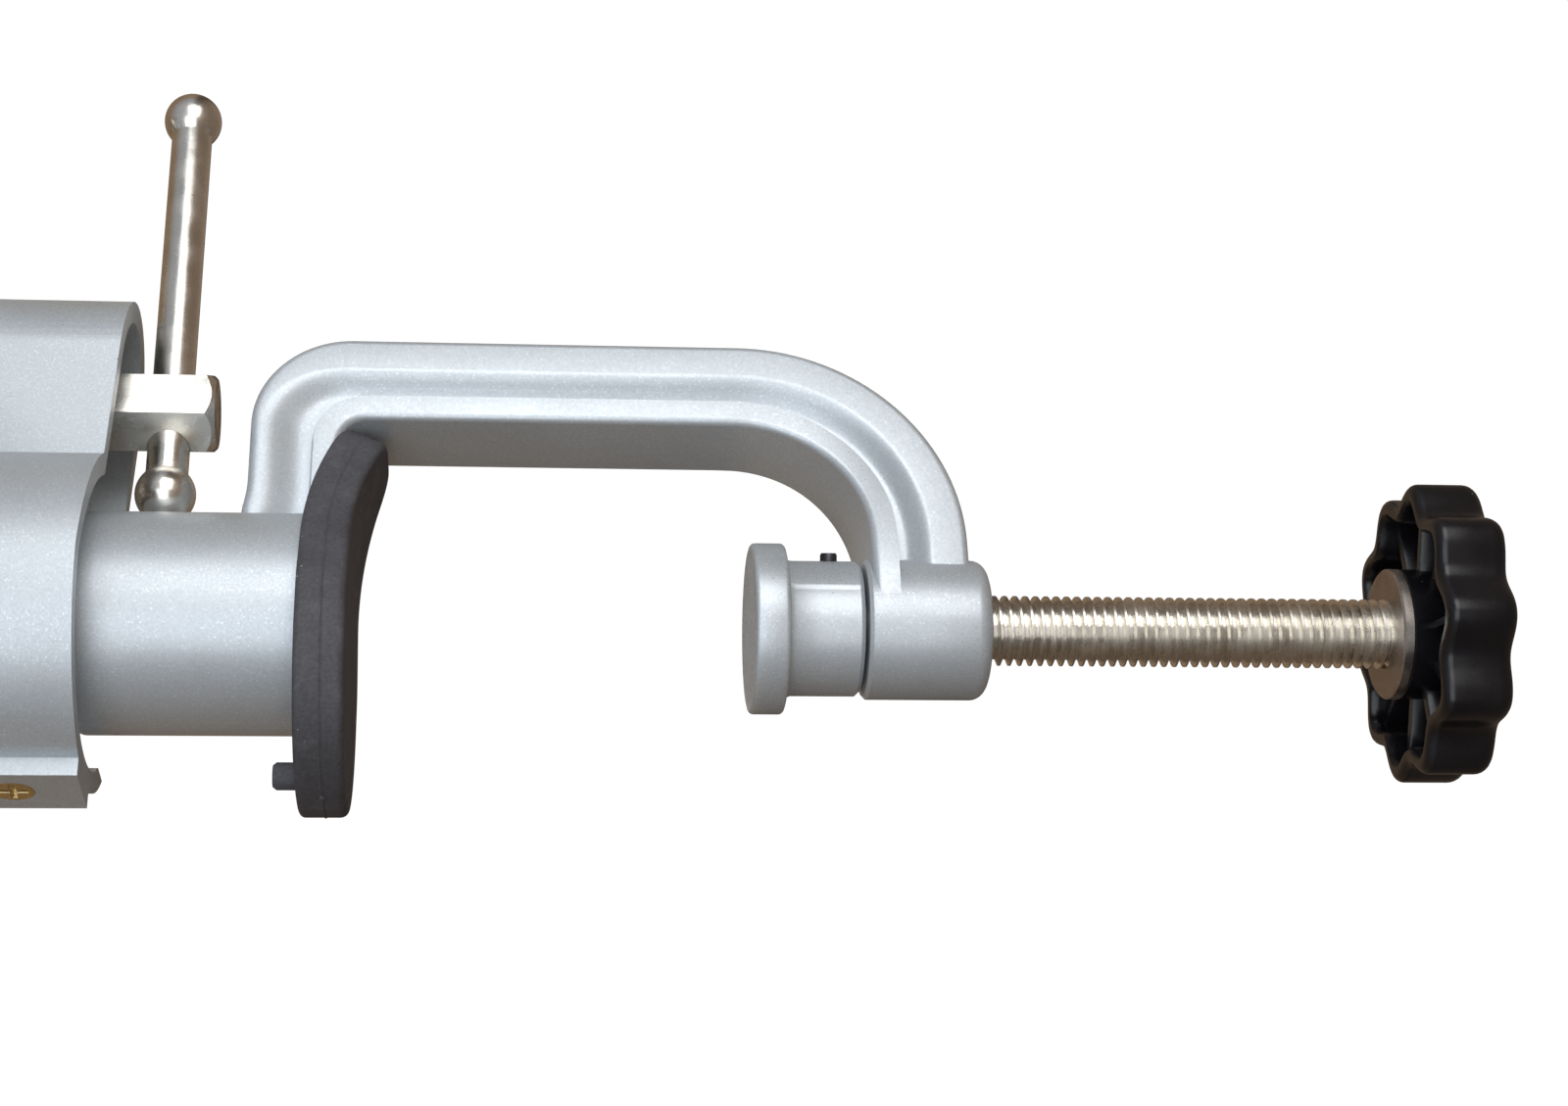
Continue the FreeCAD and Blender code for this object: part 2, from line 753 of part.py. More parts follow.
def lock_bolt():
    """The lock bolt: a long hexagonal head with a cross hole for its bar, and a plain shank."""
    head_top_z = bridge_z - washer_thickness
    head = hexagon(lock_hex_flats, lock_x, lock_head_bottom, head_top_z, lock_corner_turn)
    corner_radius = lock_hex_flats / math.sqrt(3)
    cone = Part.makeCone(
        corner_radius - lock_chamfer,
        corner_radius,
        lock_chamfer,
        Vector(lock_x, 0, lock_head_bottom),
        Z_AXIS,
    )
    barrel_bottom = lock_head_bottom + lock_chamfer
    barrel = cylinder(
        corner_radius,
        Vector(lock_x, 0, barrel_bottom),
        head_top_z - barrel_bottom,
        Z_AXIS,
    )
    head = head.common(cone.fuse(barrel))
    shank_top = nose_top - lock_nut_pocket + lock_nut_height
    shank = cylinder(lock_shank_radius, Vector(lock_x, 0, head_top_z), shank_top - head_top_z, Z_AXIS)
    bar_hole = cylinder(
        lock_bar_radius + running_play,
        Vector(lock_x - lock_hex_flats, 0, lock_bar_z),
        2 * lock_hex_flats,
        X_AXIS,
    )
    return head.fuse(shank).cut(bar_hole)


def lock_washer():
    """The washer between the lock bolt's head and the bridge."""
    start = Vector(lock_x, 0, bridge_z - washer_thickness)
    ring = cylinder(washer_radius, start, washer_thickness, Z_AXIS)
    return ring.cut(cylinder(lock_shank_radius + running_play, start, washer_thickness, Z_AXIS))


def lock_nut():
    """The nut in the pocket on top of the nose."""
    low = nose_top - lock_nut_pocket
    nut = hexagon(lock_nut_flats, lock_x, low, low + lock_nut_height, nut_corner_turn)
    bore = cylinder(
        lock_shank_radius + running_play,
        Vector(lock_x, 0, low),
        lock_nut_height,
        Z_AXIS,
    )
    return nut.cut(bore)


def handle_bar(radius, ball, start, end):
    """A sliding handle: a round bar with a ball forged at each end."""
    along = end - start
    bar = cylinder(radius, start, along.Length, along)
    return bar.fuse([sphere(ball, start), sphere(ball, end)]).removeSplitter()


def lock_bar():
    """The lock bolt's handle, lying along X."""
    return handle_bar(
        lock_bar_radius,
        lock_ball_radius,
        Vector(lock_bar_inner_x, 0, lock_bar_z),
        Vector(lock_bar_outer_x, 0, lock_bar_z),
    )


def jaw_bar():
    """The jaw screw's handle, lying level along Y."""
    x = jaw_hub_x + jaw_hub_length - jaw_bar_setback
    return handle_bar(
        jaw_bar_radius,
        jaw_ball_radius,
        Vector(x, -jaw_bar_half_length, jaw_screw_z),
        Vector(x, jaw_bar_half_length, jaw_screw_z),
    )


def moving_jaw(pad_screws):
    """The moving jaw: cheeks on a hollow beam that slides in the head, with a screw boss."""
    cheeks = jaw_cheeks(moving_jaw_foot, moving_casting_x, moving_front_x)
    beam_low = beam_floor_z + sliding_play
    beam = block(
        (beam_rear_x, -beam_half_width, beam_low),
        (moving_front_x, beam_half_width, beam_top),
    )
    boss = cylinder(
        front_boss_radius,
        Vector(moving_casting_x, 0, jaw_screw_z),
        front_boss_x - moving_casting_x,
        X_AXIS,
    )
    jaw = cheeks.fuse([beam, boss]).removeSplitter()
    channel = block(
        (beam_rear_x, -channel_half_width, beam_low),
        (channel_front_x, channel_half_width, beam_top - beam_top_wall),
    )
    bore = cylinder(
        jaw_screw_radius + running_play,
        Vector(channel_front_x, 0, jaw_screw_z),
        front_boss_x - channel_front_x,
        X_AXIS,
    )
    return jaw.cut(channel).cut(bore).cut(pad_screws)


def jaw_spindle():
    """The jaw screw: a hub with a cross hole for its bar, and the threaded length."""
    shank_start = Vector(jaw_screw_rear_x, 0, jaw_screw_z)
    shank = cylinder(jaw_screw_radius, shank_start, jaw_hub_x - jaw_screw_rear_x, X_AXIS)
    hub = cylinder(jaw_hub_radius, Vector(jaw_hub_x, 0, jaw_screw_z), jaw_hub_length, X_AXIS)
    front_x = jaw_hub_x + jaw_hub_length
    hub = hub.makeFillet(jaw_hub_round, [edge for edge in hub.Edges if edge.BoundBox.XMin > front_x - 1e-3])
    spindle = shank.fuse(hub).removeSplitter()
    bar_hole = cylinder(
        jaw_bar_radius + running_play,
        Vector(front_x - jaw_bar_setback, -jaw_hub_radius, jaw_screw_z),
        2 * jaw_hub_radius,
        Y_AXIS,
    )
    return spindle.cut(bar_hole).cut(circlip_ring(jaw_screw_radius))


def circlip_ring(outer_radius):
    """The ring of space that the circlip fills, out to a radius."""
    start = Vector(channel_front_x - running_play - circlip_thickness, 0, jaw_screw_z)
    ring = cylinder(outer_radius, start, circlip_thickness, X_AXIS)
    return ring.cut(cylinder(circlip_groove_radius, start, circlip_thickness, X_AXIS))


def jaw_circlip():
    """The circlip that holds the jaw screw in the moving jaw, with its gap below."""
    start_x = channel_front_x - running_play - circlip_thickness
    gap = block(
        (start_x, -circlip_gap_half_width, jaw_screw_z - circlip_radius),
        (start_x + circlip_thickness, circlip_gap_half_width, jaw_screw_z),
    )
    return circlip_ring(circlip_radius).cut(gap)


def jaw_thrust_washer():
    """The washer that the jaw screw's hub pushes against."""
    start = Vector(front_boss_x, 0, jaw_screw_z)
    ring = cylinder(thrust_washer_radius, start, thrust_washer_thickness, X_AXIS)
    hole = cylinder(jaw_screw_radius + running_play, start, thrust_washer_thickness, X_AXIS)
    return ring.cut(hole)


def jaw_nut(screws):
    """The nut on the tunnel floor, inside the hollow beam, with an ear for its screws."""
    body = block(
        (jaw_nut_rear_x, -jaw_nut_half_width, beam_floor_z),
        (jaw_nut_rear_x + jaw_nut_length, jaw_nut_half_width, beam_floor_z + jaw_nut_height),
    )
    ear = block(
        (jaw_nut_rear_x - jaw_nut_ear_length, -jaw_nut_half_width, beam_floor_z),
        (jaw_nut_rear_x, jaw_nut_half_width, beam_floor_z + jaw_nut_ear_thickness),
    )
    bore = cylinder(
        jaw_screw_radius + running_play,
        Vector(jaw_nut_rear_x, 0, jaw_screw_z),
        jaw_nut_length,
        X_AXIS,
    )
    return body.fuse(ear).removeSplitter().cut(bore).cut(screws)


def jaw_pad(casting_x, face_x, screws):
    """A hardened pad: a flat plate with level grooves across its working face."""
    side = jaw_half_width - jaw_pad_side_margin
    top = jaw_top - jaw_pad_top_margin
    low_x, high_x = sorted((casting_x, face_x))
    plate = block((low_x, -side, jaw_pad_bottom), (high_x, side, top))
    grooves = int((top - jaw_pad_bottom) / groove_pitch)
    margin = (top - jaw_pad_bottom - (grooves - 1) * groove_pitch) / 2
    for index in range(grooves):
        z = jaw_pad_bottom + margin + index * groove_pitch
        corners = [
            in_xz(face_x - groove_cut, z),
            in_xz(face_x, z - groove_cut),
            in_xz(face_x + groove_cut, z),
            in_xz(face_x, z + groove_cut),
        ]
        notch = Part.Face(Part.makePolygon(corners + corners[:1]))
        notch.translate(Vector(0, -side, 0))
        plate = plate.cut(notch.extrude(Vector(0, 2 * side, 0)))
    return plate.cut(screws)


def screw_group(shank, head, length, points, inward):
    """Like screws at several points, kept as separate solids in one node."""
    screws = [countersunk(shank, head, length, point, inward) for point in points]
    return Part.makeCompound(screws)


def build():
    """All the pieces, by name."""
    frame = clamp_frame()
    rear_screw = bridge_screw()
    pad_size = (pad_screw_radius, pad_screw_head_radius, pad_screw_length)
    fixed_screws = screw_group(*pad_size, pad_screw_points(fixed_face_x), X_AXIS * -1)
    moving_screws = screw_group(*pad_size, pad_screw_points(moving_face_x), X_AXIS)
    nut_size = (nut_screw_radius, nut_screw_head_radius, nut_screw_length)
    nut_screws = screw_group(*nut_size, nut_screw_points(), Z_AXIS * -1)
    return {
        "clamp_frame": frame,
        "table_pad": table_pad(frame),
        "ball_stud": ball_stud(),
        "swivel_foot": swivel_foot(),
        "foot_grub_screw": foot_grub_screw(),
        "clamp_spindle": clamp_spindle(),
        "knob_bush": knob_bush(),
        "star_knob": star_knob(),
        "ball_liner": ball_liner(),
        "vise_body": vise_body(fixed_screws, nut_screws),
        "clamp_bridge": clamp_bridge(rear_screw),
        "bridge_screw": rear_screw,
        "lock_bolt": lock_bolt(),
        "lock_washer": lock_washer(),
        "lock_nut": lock_nut(),
        "lock_bar": lock_bar(),
        "moving_jaw": moving_jaw(moving_screws),
        "jaw_spindle": jaw_spindle(),
        "jaw_circlip": jaw_circlip(),
        "jaw_thrust_washer": jaw_thrust_washer(),
        "jaw_bar": jaw_bar(),
        "jaw_nut": jaw_nut(nut_screws),
        "jaw_nut_screws": nut_screws,
        "fixed_jaw_pad": jaw_pad(block_front_x, fixed_face_x, fixed_screws),
        "fixed_pad_screws": fixed_screws,
        "moving_jaw_pad": jaw_pad(moving_casting_x, moving_face_x, moving_screws),
        "moving_pad_screws": moving_screws,
    }


os.makedirs("parts", exist_ok=True)
for name, shape in build().items():
    shape.exportStep(os.path.join("parts", name + ".step"))
    print(name, len(shape.Solids), round(shape.Volume, 1), shape.isValid())
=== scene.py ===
import math

import bmesh
import bpy
import numpy as np
from mathutils import Matrix, Vector


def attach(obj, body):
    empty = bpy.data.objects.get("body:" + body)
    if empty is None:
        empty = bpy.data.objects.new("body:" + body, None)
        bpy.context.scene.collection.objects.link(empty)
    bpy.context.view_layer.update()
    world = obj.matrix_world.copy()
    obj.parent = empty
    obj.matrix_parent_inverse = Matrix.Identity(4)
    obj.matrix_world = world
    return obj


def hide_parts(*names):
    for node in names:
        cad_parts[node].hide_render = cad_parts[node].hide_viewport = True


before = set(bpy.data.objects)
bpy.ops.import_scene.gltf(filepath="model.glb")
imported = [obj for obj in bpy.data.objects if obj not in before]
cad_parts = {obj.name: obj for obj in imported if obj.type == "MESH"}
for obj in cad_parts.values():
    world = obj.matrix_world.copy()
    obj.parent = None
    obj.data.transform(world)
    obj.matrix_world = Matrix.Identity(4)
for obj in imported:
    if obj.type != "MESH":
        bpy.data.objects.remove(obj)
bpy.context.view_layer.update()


# Camera, floor and light.
# The camera lies on its side, as the photograph shows the vise: the clamp screw runs to the
# right. Light comes from the spine's side, faces turned away mirror a brown bench behind, and a
# soft lamp behind lifts the far side without a highlight of its own.

view_turn = math.radians(27.0)
view_distance = 400.0
view_height = -20.0
aim_down = math.radians(5.75)
aim_across = math.radians(1.54)
picture_roll = math.radians(0.65)
focal_pixels = 2900.0
picture_width = 1600.0
floor_height = -260.0

toward = Vector((math.sin(view_turn), math.cos(view_turn), 0))
picture_up = Vector((math.cos(view_turn), -math.sin(view_turn), 0))
picture_right = Vector((0, 0, -1))
aim = (toward + math.tan(aim_down) * picture_right + math.tan(aim_across) * picture_up).normalized()
level = (picture_right - picture_right.dot(aim) * aim).normalized()
upward = level.cross(aim)
right_axis = level * math.cos(picture_roll) + upward * math.sin(picture_roll)
up_axis = upward * math.cos(picture_roll) - level * math.sin(picture_roll)
camera_data = bpy.data.cameras.new("camera")
camera_data.sensor_width = 36.0
camera_data.lens = focal_pixels * camera_data.sensor_width / picture_width
camera_data.clip_start = 0.01
camera = bpy.data.objects.new("camera", camera_data)
bpy.context.collection.objects.link(camera)
camera_place = (-toward * view_distance + Vector((0, 0, view_height))) / 1000
camera.matrix_world = Matrix.Translation(camera_place) @ Matrix(
    (right_axis, up_axis, -aim)
).transposed().to_4x4()
bpy.context.scene.camera = camera
bpy.context.scene.view_settings.view_transform = "Standard"


def new_node(tree, kind, **values):
    """Adds a node to a tree and sets its own properties and its named or numbered inputs."""
    node = tree.nodes.new(kind)
    for name, value in values.items():
        if hasattr(node, name):
            setattr(node, name, value)
        else:
            node.inputs[name.replace("_", " ")].default_value = value
    return node


world = bpy.data.worlds.new("studio")
world.use_nodes = True
world.node_tree.nodes.clear()
bpy.context.scene.world = world
sky = world.node_tree
direction = new_node(sky, "ShaderNodeTexCoord")
side = new_node(sky, "ShaderNodeVectorMath", operation="DOT_PRODUCT")
side.inputs[1].default_value = (picture_up * 0.3 - toward * 0.95).normalized()
sky.links.new(direction.outputs["Generated"], side.inputs[0])
shade = new_node(sky, "ShaderNodeMapRange", interpolation_type="SMOOTHSTEP")
shade.inputs["From Min"].default_value = -0.20
shade.inputs["From Max"].default_value = 0.45
sky.links.new(side.outputs["Value"], shade.inputs["Value"])
bench = new_node(sky, "ShaderNodeMix", data_type="RGBA")
bench.inputs["A"].default_value = (0.60, 0.42, 0.27, 1)
bench.inputs["B"].default_value = (0.80, 0.85, 0.92, 1)
sky.links.new(shade.outputs["Result"], bench.inputs["Factor"])
lit = new_node(sky, "ShaderNodeBackground", Strength=0.40)
sky.links.new(bench.outputs["Result"], lit.inputs["Color"])
seen = new_node(sky, "ShaderNodeBackground", Strength=1.05)
seen.inputs["Color"].default_value = (1, 1, 1, 1)
ray = new_node(sky, "ShaderNodeLightPath")
choose = new_node(sky, "ShaderNodeMixShader")
sky.links.new(ray.outputs["Is Camera Ray"], choose.inputs["Fac"])
sky.links.new(lit.outputs["Background"], choose.inputs[1])
sky.links.new(seen.outputs["Background"], choose.inputs[2])
sky_out = new_node(sky, "ShaderNodeOutputWorld")
sky.links.new(choose.outputs["Shader"], sky_out.inputs["Surface"])

middle = Vector((0.01, 0, -0.04))
for name, power, size, place, tint in (
    ("key_light", 2.5, 0.45, picture_up * 0.42 - toward * 0.43 - Vector((0, 0, 0.05)), (1, 1, 1)),
    ("front_light", 2.0, 0.55, Vector((0, 0, 0.12)) - picture_up * 0.04 - toward * 0.66, (0.94, 0.97, 1)),
    ("end_light", 0.9, 0.35, picture_up * 0.25 - toward * 0.30 - Vector((0, 0, 0.48)), (0.92, 0.96, 1)),
    ("back_light", 4.5, 0.60, picture_up * 0.20 + toward * 0.68 + Vector((0, 0, 0.20)), (1, 1, 1)),
):
    lamp = bpy.data.lights.new(name, "AREA")
    lamp.energy = power
    lamp.size = size
    lamp.color = tint
    lamp_object = bpy.data.objects.new(name, lamp)
    bpy.context.collection.objects.link(lamp_object)
    lamp_object.location = middle + place
    lamp_object.rotation_euler = (-place).to_track_quat("-Z", "Y").to_euler()
    lamp_object.visible_glossy = name != "back_light"

floor_mesh = bpy.data.meshes.new("floor")
reach, low = 6.0, floor_height / 1000
floor_mesh.from_pydata(
    [(-reach, -reach, low), (reach, -reach, low), (reach, reach, low), (-reach, reach, low)],
    [],
    [(0, 1, 2, 3)],
)
floor = bpy.data.objects.new("floor", floor_mesh)
bpy.context.collection.objects.link(floor)
floor_paint = bpy.data.materials.new("floor_paint")
floor_paint.use_nodes = True
floor_tree = floor_paint.node_tree
floor_shader = floor_tree.nodes["Principled BSDF"]
floor_shader.inputs["Base Color"].default_value = (0.22, 0.17, 0.13, 1)
floor_shader.inputs["Roughness"].default_value = 0.9
floor_shader.inputs["Specular IOR Level"].default_value = 0.1
floor_glow = new_node(floor_tree, "ShaderNodeEmission", Strength=1.05)
floor_ray = new_node(floor_tree, "ShaderNodeLightPath")
floor_choose = new_node(floor_tree, "ShaderNodeMixShader")
floor_tree.links.new(floor_ray.outputs["Is Camera Ray"], floor_choose.inputs["Fac"])
floor_tree.links.new(floor_shader.outputs["BSDF"], floor_choose.inputs[1])
floor_tree.links.new(floor_glow.outputs["Emission"], floor_choose.inputs[2])
floor_surface = floor_tree.nodes["Material Output"].inputs["Surface"]
floor_tree.links.new(floor_choose.outputs["Shader"], floor_surface)
floor_mesh.materials.append(floor_paint)


# Clamp frame.
# One zinc casting: a C of I section with its round post, the plate inside the rubber boot and
# the screw boss, sprayed with light blue-grey metallic paint that shows fine flake and a few rubs.

frame_half_width = 7.2
rib_width_outer = 5.9
rib_width_inner = 3.9
rib_height = 2.3
rib_edge_round = 1.1
rib_widening_run = 28.0
rib_widening_start = 31.95
web_end = 6.6
post_radius = 15.5
boss_radius = 9.95


def grid_faces(rows, columns, wrap_rows=False, wrap_columns=False):
    """Quads between neighbours of a rows x columns grid; wrapping joins the last line to the first."""
    row = np.arange(rows if wrap_rows else rows - 1)
    column = np.arange(columns if wrap_columns else columns - 1)
    row, column = (part.ravel() for part in np.meshgrid(row, column, indexing="ij"))
    next_row, next_column = (row + 1) % rows, (column + 1) % columns
    return np.stack(
        [
            row * columns + column,
            next_row * columns + column,
            next_row * columns + next_column,
            row * columns + next_column,
        ],
        axis=-1,
    )


def make_piece(name, shells, smooth_degrees=35.0):
    """One mesh object from shells of (points in millimetres, faces). Coincident points are
    merged, which closes seams and poles, faces are turned outward, and edges sharper than the
    given angle stay sharp."""
    points, faces, first = [], [], 0
    for shell_points, shell_faces in shells:
        shell_points = np.asarray(shell_points, float).reshape(-1, 3)
        points.append(shell_points / 1000)
        faces.extend((np.asarray(face) + first).tolist() for face in shell_faces)
        first += len(shell_points)
    mesh = bpy.data.meshes.new(name)
    mesh.from_pydata(np.concatenate(points).tolist(), [], faces)
    work = bmesh.new()
    work.from_mesh(mesh)
    bmesh.ops.remove_doubles(work, verts=work.verts, dist=2e-6)
    bmesh.ops.dissolve_degenerate(work, edges=work.edges, dist=1e-7)
    bmesh.ops.recalc_face_normals(work, faces=work.faces)
    work.to_mesh(mesh)
    work.free()
    mesh.polygons.foreach_set("use_smooth", [True] * len(mesh.polygons))
    mesh.set_sharp_from_angle(angle=math.radians(smooth_degrees))
    piece = bpy.data.objects.new(name, mesh)
    bpy.context.collection.objects.link(piece)
    return piece


def turned(profile, steps=96):
    """Surface of revolution about Z: each (radius, height) of the profile is carried round a
    circle. A radius of nothing makes a pole."""
    radius, height = np.asarray(profile, float).T
    angle = np.linspace(0, 2 * math.pi, steps, endpoint=False)
    points = np.stack(
        [
            np.outer(radius, np.cos(angle)),
            np.outer(radius, np.sin(angle)),
            np.repeat(height[:, None], steps, axis=1),
        ],
        axis=-1,
    )
    return points, grid_faces(len(radius), steps, wrap_columns=True)


def ring(profile, steps=96):
    """Surface of revolution of a closed profile, as for a washer: its last point joins its first."""
    points, _ = turned(profile, steps)
    return points, grid_faces(len(profile), steps, wrap_rows=True, wrap_columns=True)


def quarter(centre_a, centre_b, radius, start_degrees, end_degrees, count=6):
    """Points of an arc: centre plus radius times (cosine, sine) from one angle to the other."""
    angle = np.radians(np.linspace(start_degrees, end_degrees, count))
    return list(zip(centre_a + radius * np.cos(angle), centre_b + radius * np.sin(angle)))


def c_line(top, side, bottom, top_radius, bottom_radius, start_x, end_x):
    """Line of a C: out along the top, a quarter circle, down the side, a quarter circle, and back
    along the bottom. Every C has the same count of points in each of the five runs."""
    out = np.linspace(start_x, side - top_radius, 44, endpoint=False)
    down = np.linspace(top - top_radius, bottom + bottom_radius, 30, endpoint=False)
    back = np.linspace(side - bottom_radius, end_x, 16)
    turn = np.linspace(0, math.pi / 2, 24, endpoint=False)
    low_turn = np.linspace(0, math.pi / 2, 34, endpoint=False)
    x = [
        out,
        side - top_radius + top_radius * np.sin(turn),
        np.full(30, side),
        side - bottom_radius + bottom_radius * np.cos(low_turn),
        back,
    ]
    z = [
        np.full(44, top),
        top - top_radius + top_radius * np.cos(turn),
        down,
        bottom + bottom_radius - bottom_radius * np.sin(low_turn),
        np.full(16, bottom),
    ]
    return np.stack([np.concatenate(x), np.concatenate(z)], axis=-1)


def eased(count):
    """Values from 0 to 1 that start and end gently: 3 t squared minus 2 t cubed."""
    t = np.linspace(0, 1, count)
    return t, t * t * (3 - 2 * t)


def clamp_frame_arm():
    """The I section carried along the C. A section point is the outer line's point plus the way to
    the inner line times depth over thickness, with its half width given by rounded rib edges and
    an eased groove wall. On the upper arm the groove's outer wall is a long scoop. The inner rib
    runs down beside the boss, eased out until its flat face meets the boss's round, and the rest
    of the section stops short of the bore."""
    ends = {"start_x": 4.0, "end_x": 0.0}
    outer = c_line(top=15.0, side=42.8, bottom=-86.4, top_radius=14.0, bottom_radius=32.0, **ends)
    inner = c_line(top=2.5, side=29.5, bottom=-72.2, top_radius=4.0, bottom_radius=19.0, **ends)
    rows = len(outer)
    flare = np.clip((20.0 - outer[:, 0]) / 5.0, 0, 1) ** 2
    flare[44:] = 0
    outer[:, 1] += 0.6 * flare
    edge = np.radians(np.linspace(0, 90, 6))
    t, ease = eased(8)
    floor = frame_half_width - rib_height
    scoop = np.concatenate([np.ones(44), 1 - eased(24)[1], np.zeros(rows - 68)])[:, None]
    wall_start = scoop * 1.6 + (1 - scoop) * (rib_width_outer - 0.7)
    wall_end = scoop * 8.0 + (1 - scoop) * (rib_width_outer + 3.0)
    rounding = rib_edge_round * (1 - np.cos(edge))
    from_outer = np.concatenate(
        [
            np.zeros((rows, 1)),
            np.repeat(rounding[None], rows, 0),
            wall_start - 0.2,
            wall_start + (wall_end - wall_start) * t,
        ],
        axis=1,
    )
    from_inner = np.concatenate(
        [rib_width_inner + 0.2 - 0.4 * t, [rib_width_inner - 0.4], rounding[::-1], [0.0]]
    )
    half_round = frame_half_width - rib_edge_round + rib_edge_round * np.sin(edge)
    half = np.concatenate([[0.0], half_round, [frame_half_width], frame_half_width - rib_height * ease])
    half = np.concatenate([half, floor + rib_height * ease, [frame_half_width], half_round[::-1], [0.0]])
    across = inner - outer
    thickness = np.linalg.norm(across, axis=1, keepdims=True)
    depth = np.concatenate([from_outer, thickness - from_inner[None]], axis=1)
    share = depth / thickness
    share = np.concatenate([share, share[:, -2:0:-1]], axis=1)
    y = np.concatenate([-half, half[-2:0:-1]])
    y = np.repeat(y[None], rows, 0)
    x = outer[:, :1] + across[:, :1] * share
    z = outer[:, 1:] + across[:, 1:] * share
    low_arm = np.zeros((rows, 1))
    low_arm[-50:] = 1.0
    inner_rib = np.concatenate([np.zeros(16), ease, np.ones(7), [0.0]])
    inner_rib = np.concatenate([inner_rib, inner_rib[-2:0:-1]])
    near_boss = np.clip((rib_widening_start - x) / rib_widening_run, 0, 1)
    near_boss = near_boss * near_boss * (3 - 2 * near_boss)
    widening = (boss_radius - 0.03 - frame_half_width) * near_boss
    y = y + np.sign(y) * widening * low_arm * inner_rib
    inside_boss = np.clip(boss_radius - x, 0, None) * low_arm
    x = x + (1 - inner_rib) * inside_boss * web_end / boss_radius
    points = np.stack([x, y, z], axis=-1)
    faces = list(grid_faces(rows, x.shape[1], wrap_columns=True))
    faces.append(np.arange(x.shape[1]))
    faces.append(np.arange(x.shape[1])[::-1] + (rows - 1) * x.shape[1])
    return points, faces


post_profile = [(0, 2.5), (post_radius, 2.5), (post_radius, 8), (post_radius, 20), (post_radius, 30)]
post_profile += quarter(post_radius - 1.5, 36.0, 1.5, 0, 90)
post_profile += [(5.0, 37.5), (5.0, 23.5), (0, 23.5)]
boss_profile = [(5.05, -71.5), (boss_radius - 0.5, -71.5), (boss_radius, -72.0), (boss_radius, -80)]
boss_profile += quarter(boss_radius - 2.2, -86.8, 2.2, 0, -90, 8)
boss_profile += [(6.2, -89.0), (5.05, -88.2)]


def rounded_plan(corners, steps=7):
    """Closed plan through corners (x, y, radius), each corner replaced by a tangent arc."""
    points = []
    count = len(corners)
    for index, (x, y, radius) in enumerate(corners):
        here = Vector((x, y))
        before = (Vector(corners[index - 1][:2]) - here).normalized()
        after = (Vector(corners[(index + 1) % count][:2]) - here).normalized()
        half_angle = before.angle(after) / 2
        centre = here + (before + after).normalized() * (radius / math.sin(half_angle))
        start = here + before * (radius / math.tan(half_angle)) - centre
        turn = start.angle_signed(here + after * (radius / math.tan(half_angle)) - centre)
        first = math.atan2(start.y, start.x)
        for part in np.linspace(0, 1, steps):
            angle = first - turn * part
            points.append((centre.x + radius * math.cos(angle), centre.y + radius * math.sin(angle)))
    return np.array(points)


def slab(plan, low, high):
    """A closed plan made solid between two heights, with flat top and bottom."""
    bottom = np.column_stack([plan, np.full(len(plan), low)])
    top = np.column_stack([plan, np.full(len(plan), high)])
    faces = list(grid_faces(2, len(plan), wrap_columns=True))
    faces += [np.arange(len(plan))[::-1], np.arange(len(plan)) + len(plan)]
    return np.concatenate([bottom, top]), faces


plate_corners = [(-24.5, -17.5, 16.5), (-2, -17.5, 10), (8, -12.75, 3)]
plate_corners += [(x, -y, radius) for x, y, radius in reversed(plate_corners)]
clamp_frame = make_piece(
    "clamp_frame_cast",
    [
        clamp_frame_arm(),
        turned(post_profile, 128),
        ring(boss_profile),
        slab(rounded_plan(plate_corners), 2.5, 5.0),
    ],
)


def new_group(name, inputs, outputs):
    """An empty shader group with named inputs (name, socket kind, value) and named outputs."""
    group = bpy.data.node_groups.new(name, "ShaderNodeTree")
    for label, kind, value in inputs:
        socket = group.interface.new_socket(label, in_out="INPUT", socket_type=kind)
        socket.default_value = value
    for label, kind in outputs:
        group.interface.new_socket(label, in_out="OUTPUT", socket_type=kind)
    return group, group.nodes.new("NodeGroupInput"), group.nodes.new("NodeGroupOutput")


def metre_noise(tree, cell, detail=2.0, rough=0.5, vector=None):
    """Noise on Object coordinates whose lumps are about the given size in millimetres."""
    noise = new_node(tree, "ShaderNodeTexNoise", Scale=1000.0 / cell, Detail=detail, Roughness=rough)
    if vector is None:
        vector = new_node(tree, "ShaderNodeTexCoord").outputs["Object"]
    tree.links.new(vector, noise.inputs["Vector"])
    return noise


def ramp(tree, source, low, high, start=0.0, end=1.0):
    """The source's value stretched so that low gives start and high gives end, and no further."""
    node = new_node(tree, "ShaderNodeMapRange")
    node.inputs["From Min"].default_value = low
    node.inputs["From Max"].default_value = high
    node.inputs["To Min"].default_value = start
    node.inputs["To Max"].default_value = end
    tree.links.new(source, node.inputs["Value"])
    return node.outputs["Result"]


def blend_colours(tree, factor, first, second, mode="MIX"):
    """Two colours mixed by a factor; each is a socket or a plain colour."""
    node = new_node(tree, "ShaderNodeMix", data_type="RGBA", blend_type=mode)
    for source, target in ((factor, "Factor"), (first, "A"), (second, "B")):
        if isinstance(source, (float, tuple)):
            node.inputs[target].default_value = source
        else:
            tree.links.new(source, node.inputs[target])
    return node.outputs["Result"]


def number(tree, operation, first, second):
    """A sum, product or other operation of two sockets or plain numbers."""
    node = new_node(tree, "ShaderNodeMath", operation=operation)
    for index, source in enumerate((first, second)):
        if isinstance(source, (int, float)):
            node.inputs[index].default_value = source
        else:
            tree.links.new(source, node.inputs[index])
    return node.outputs["Value"]


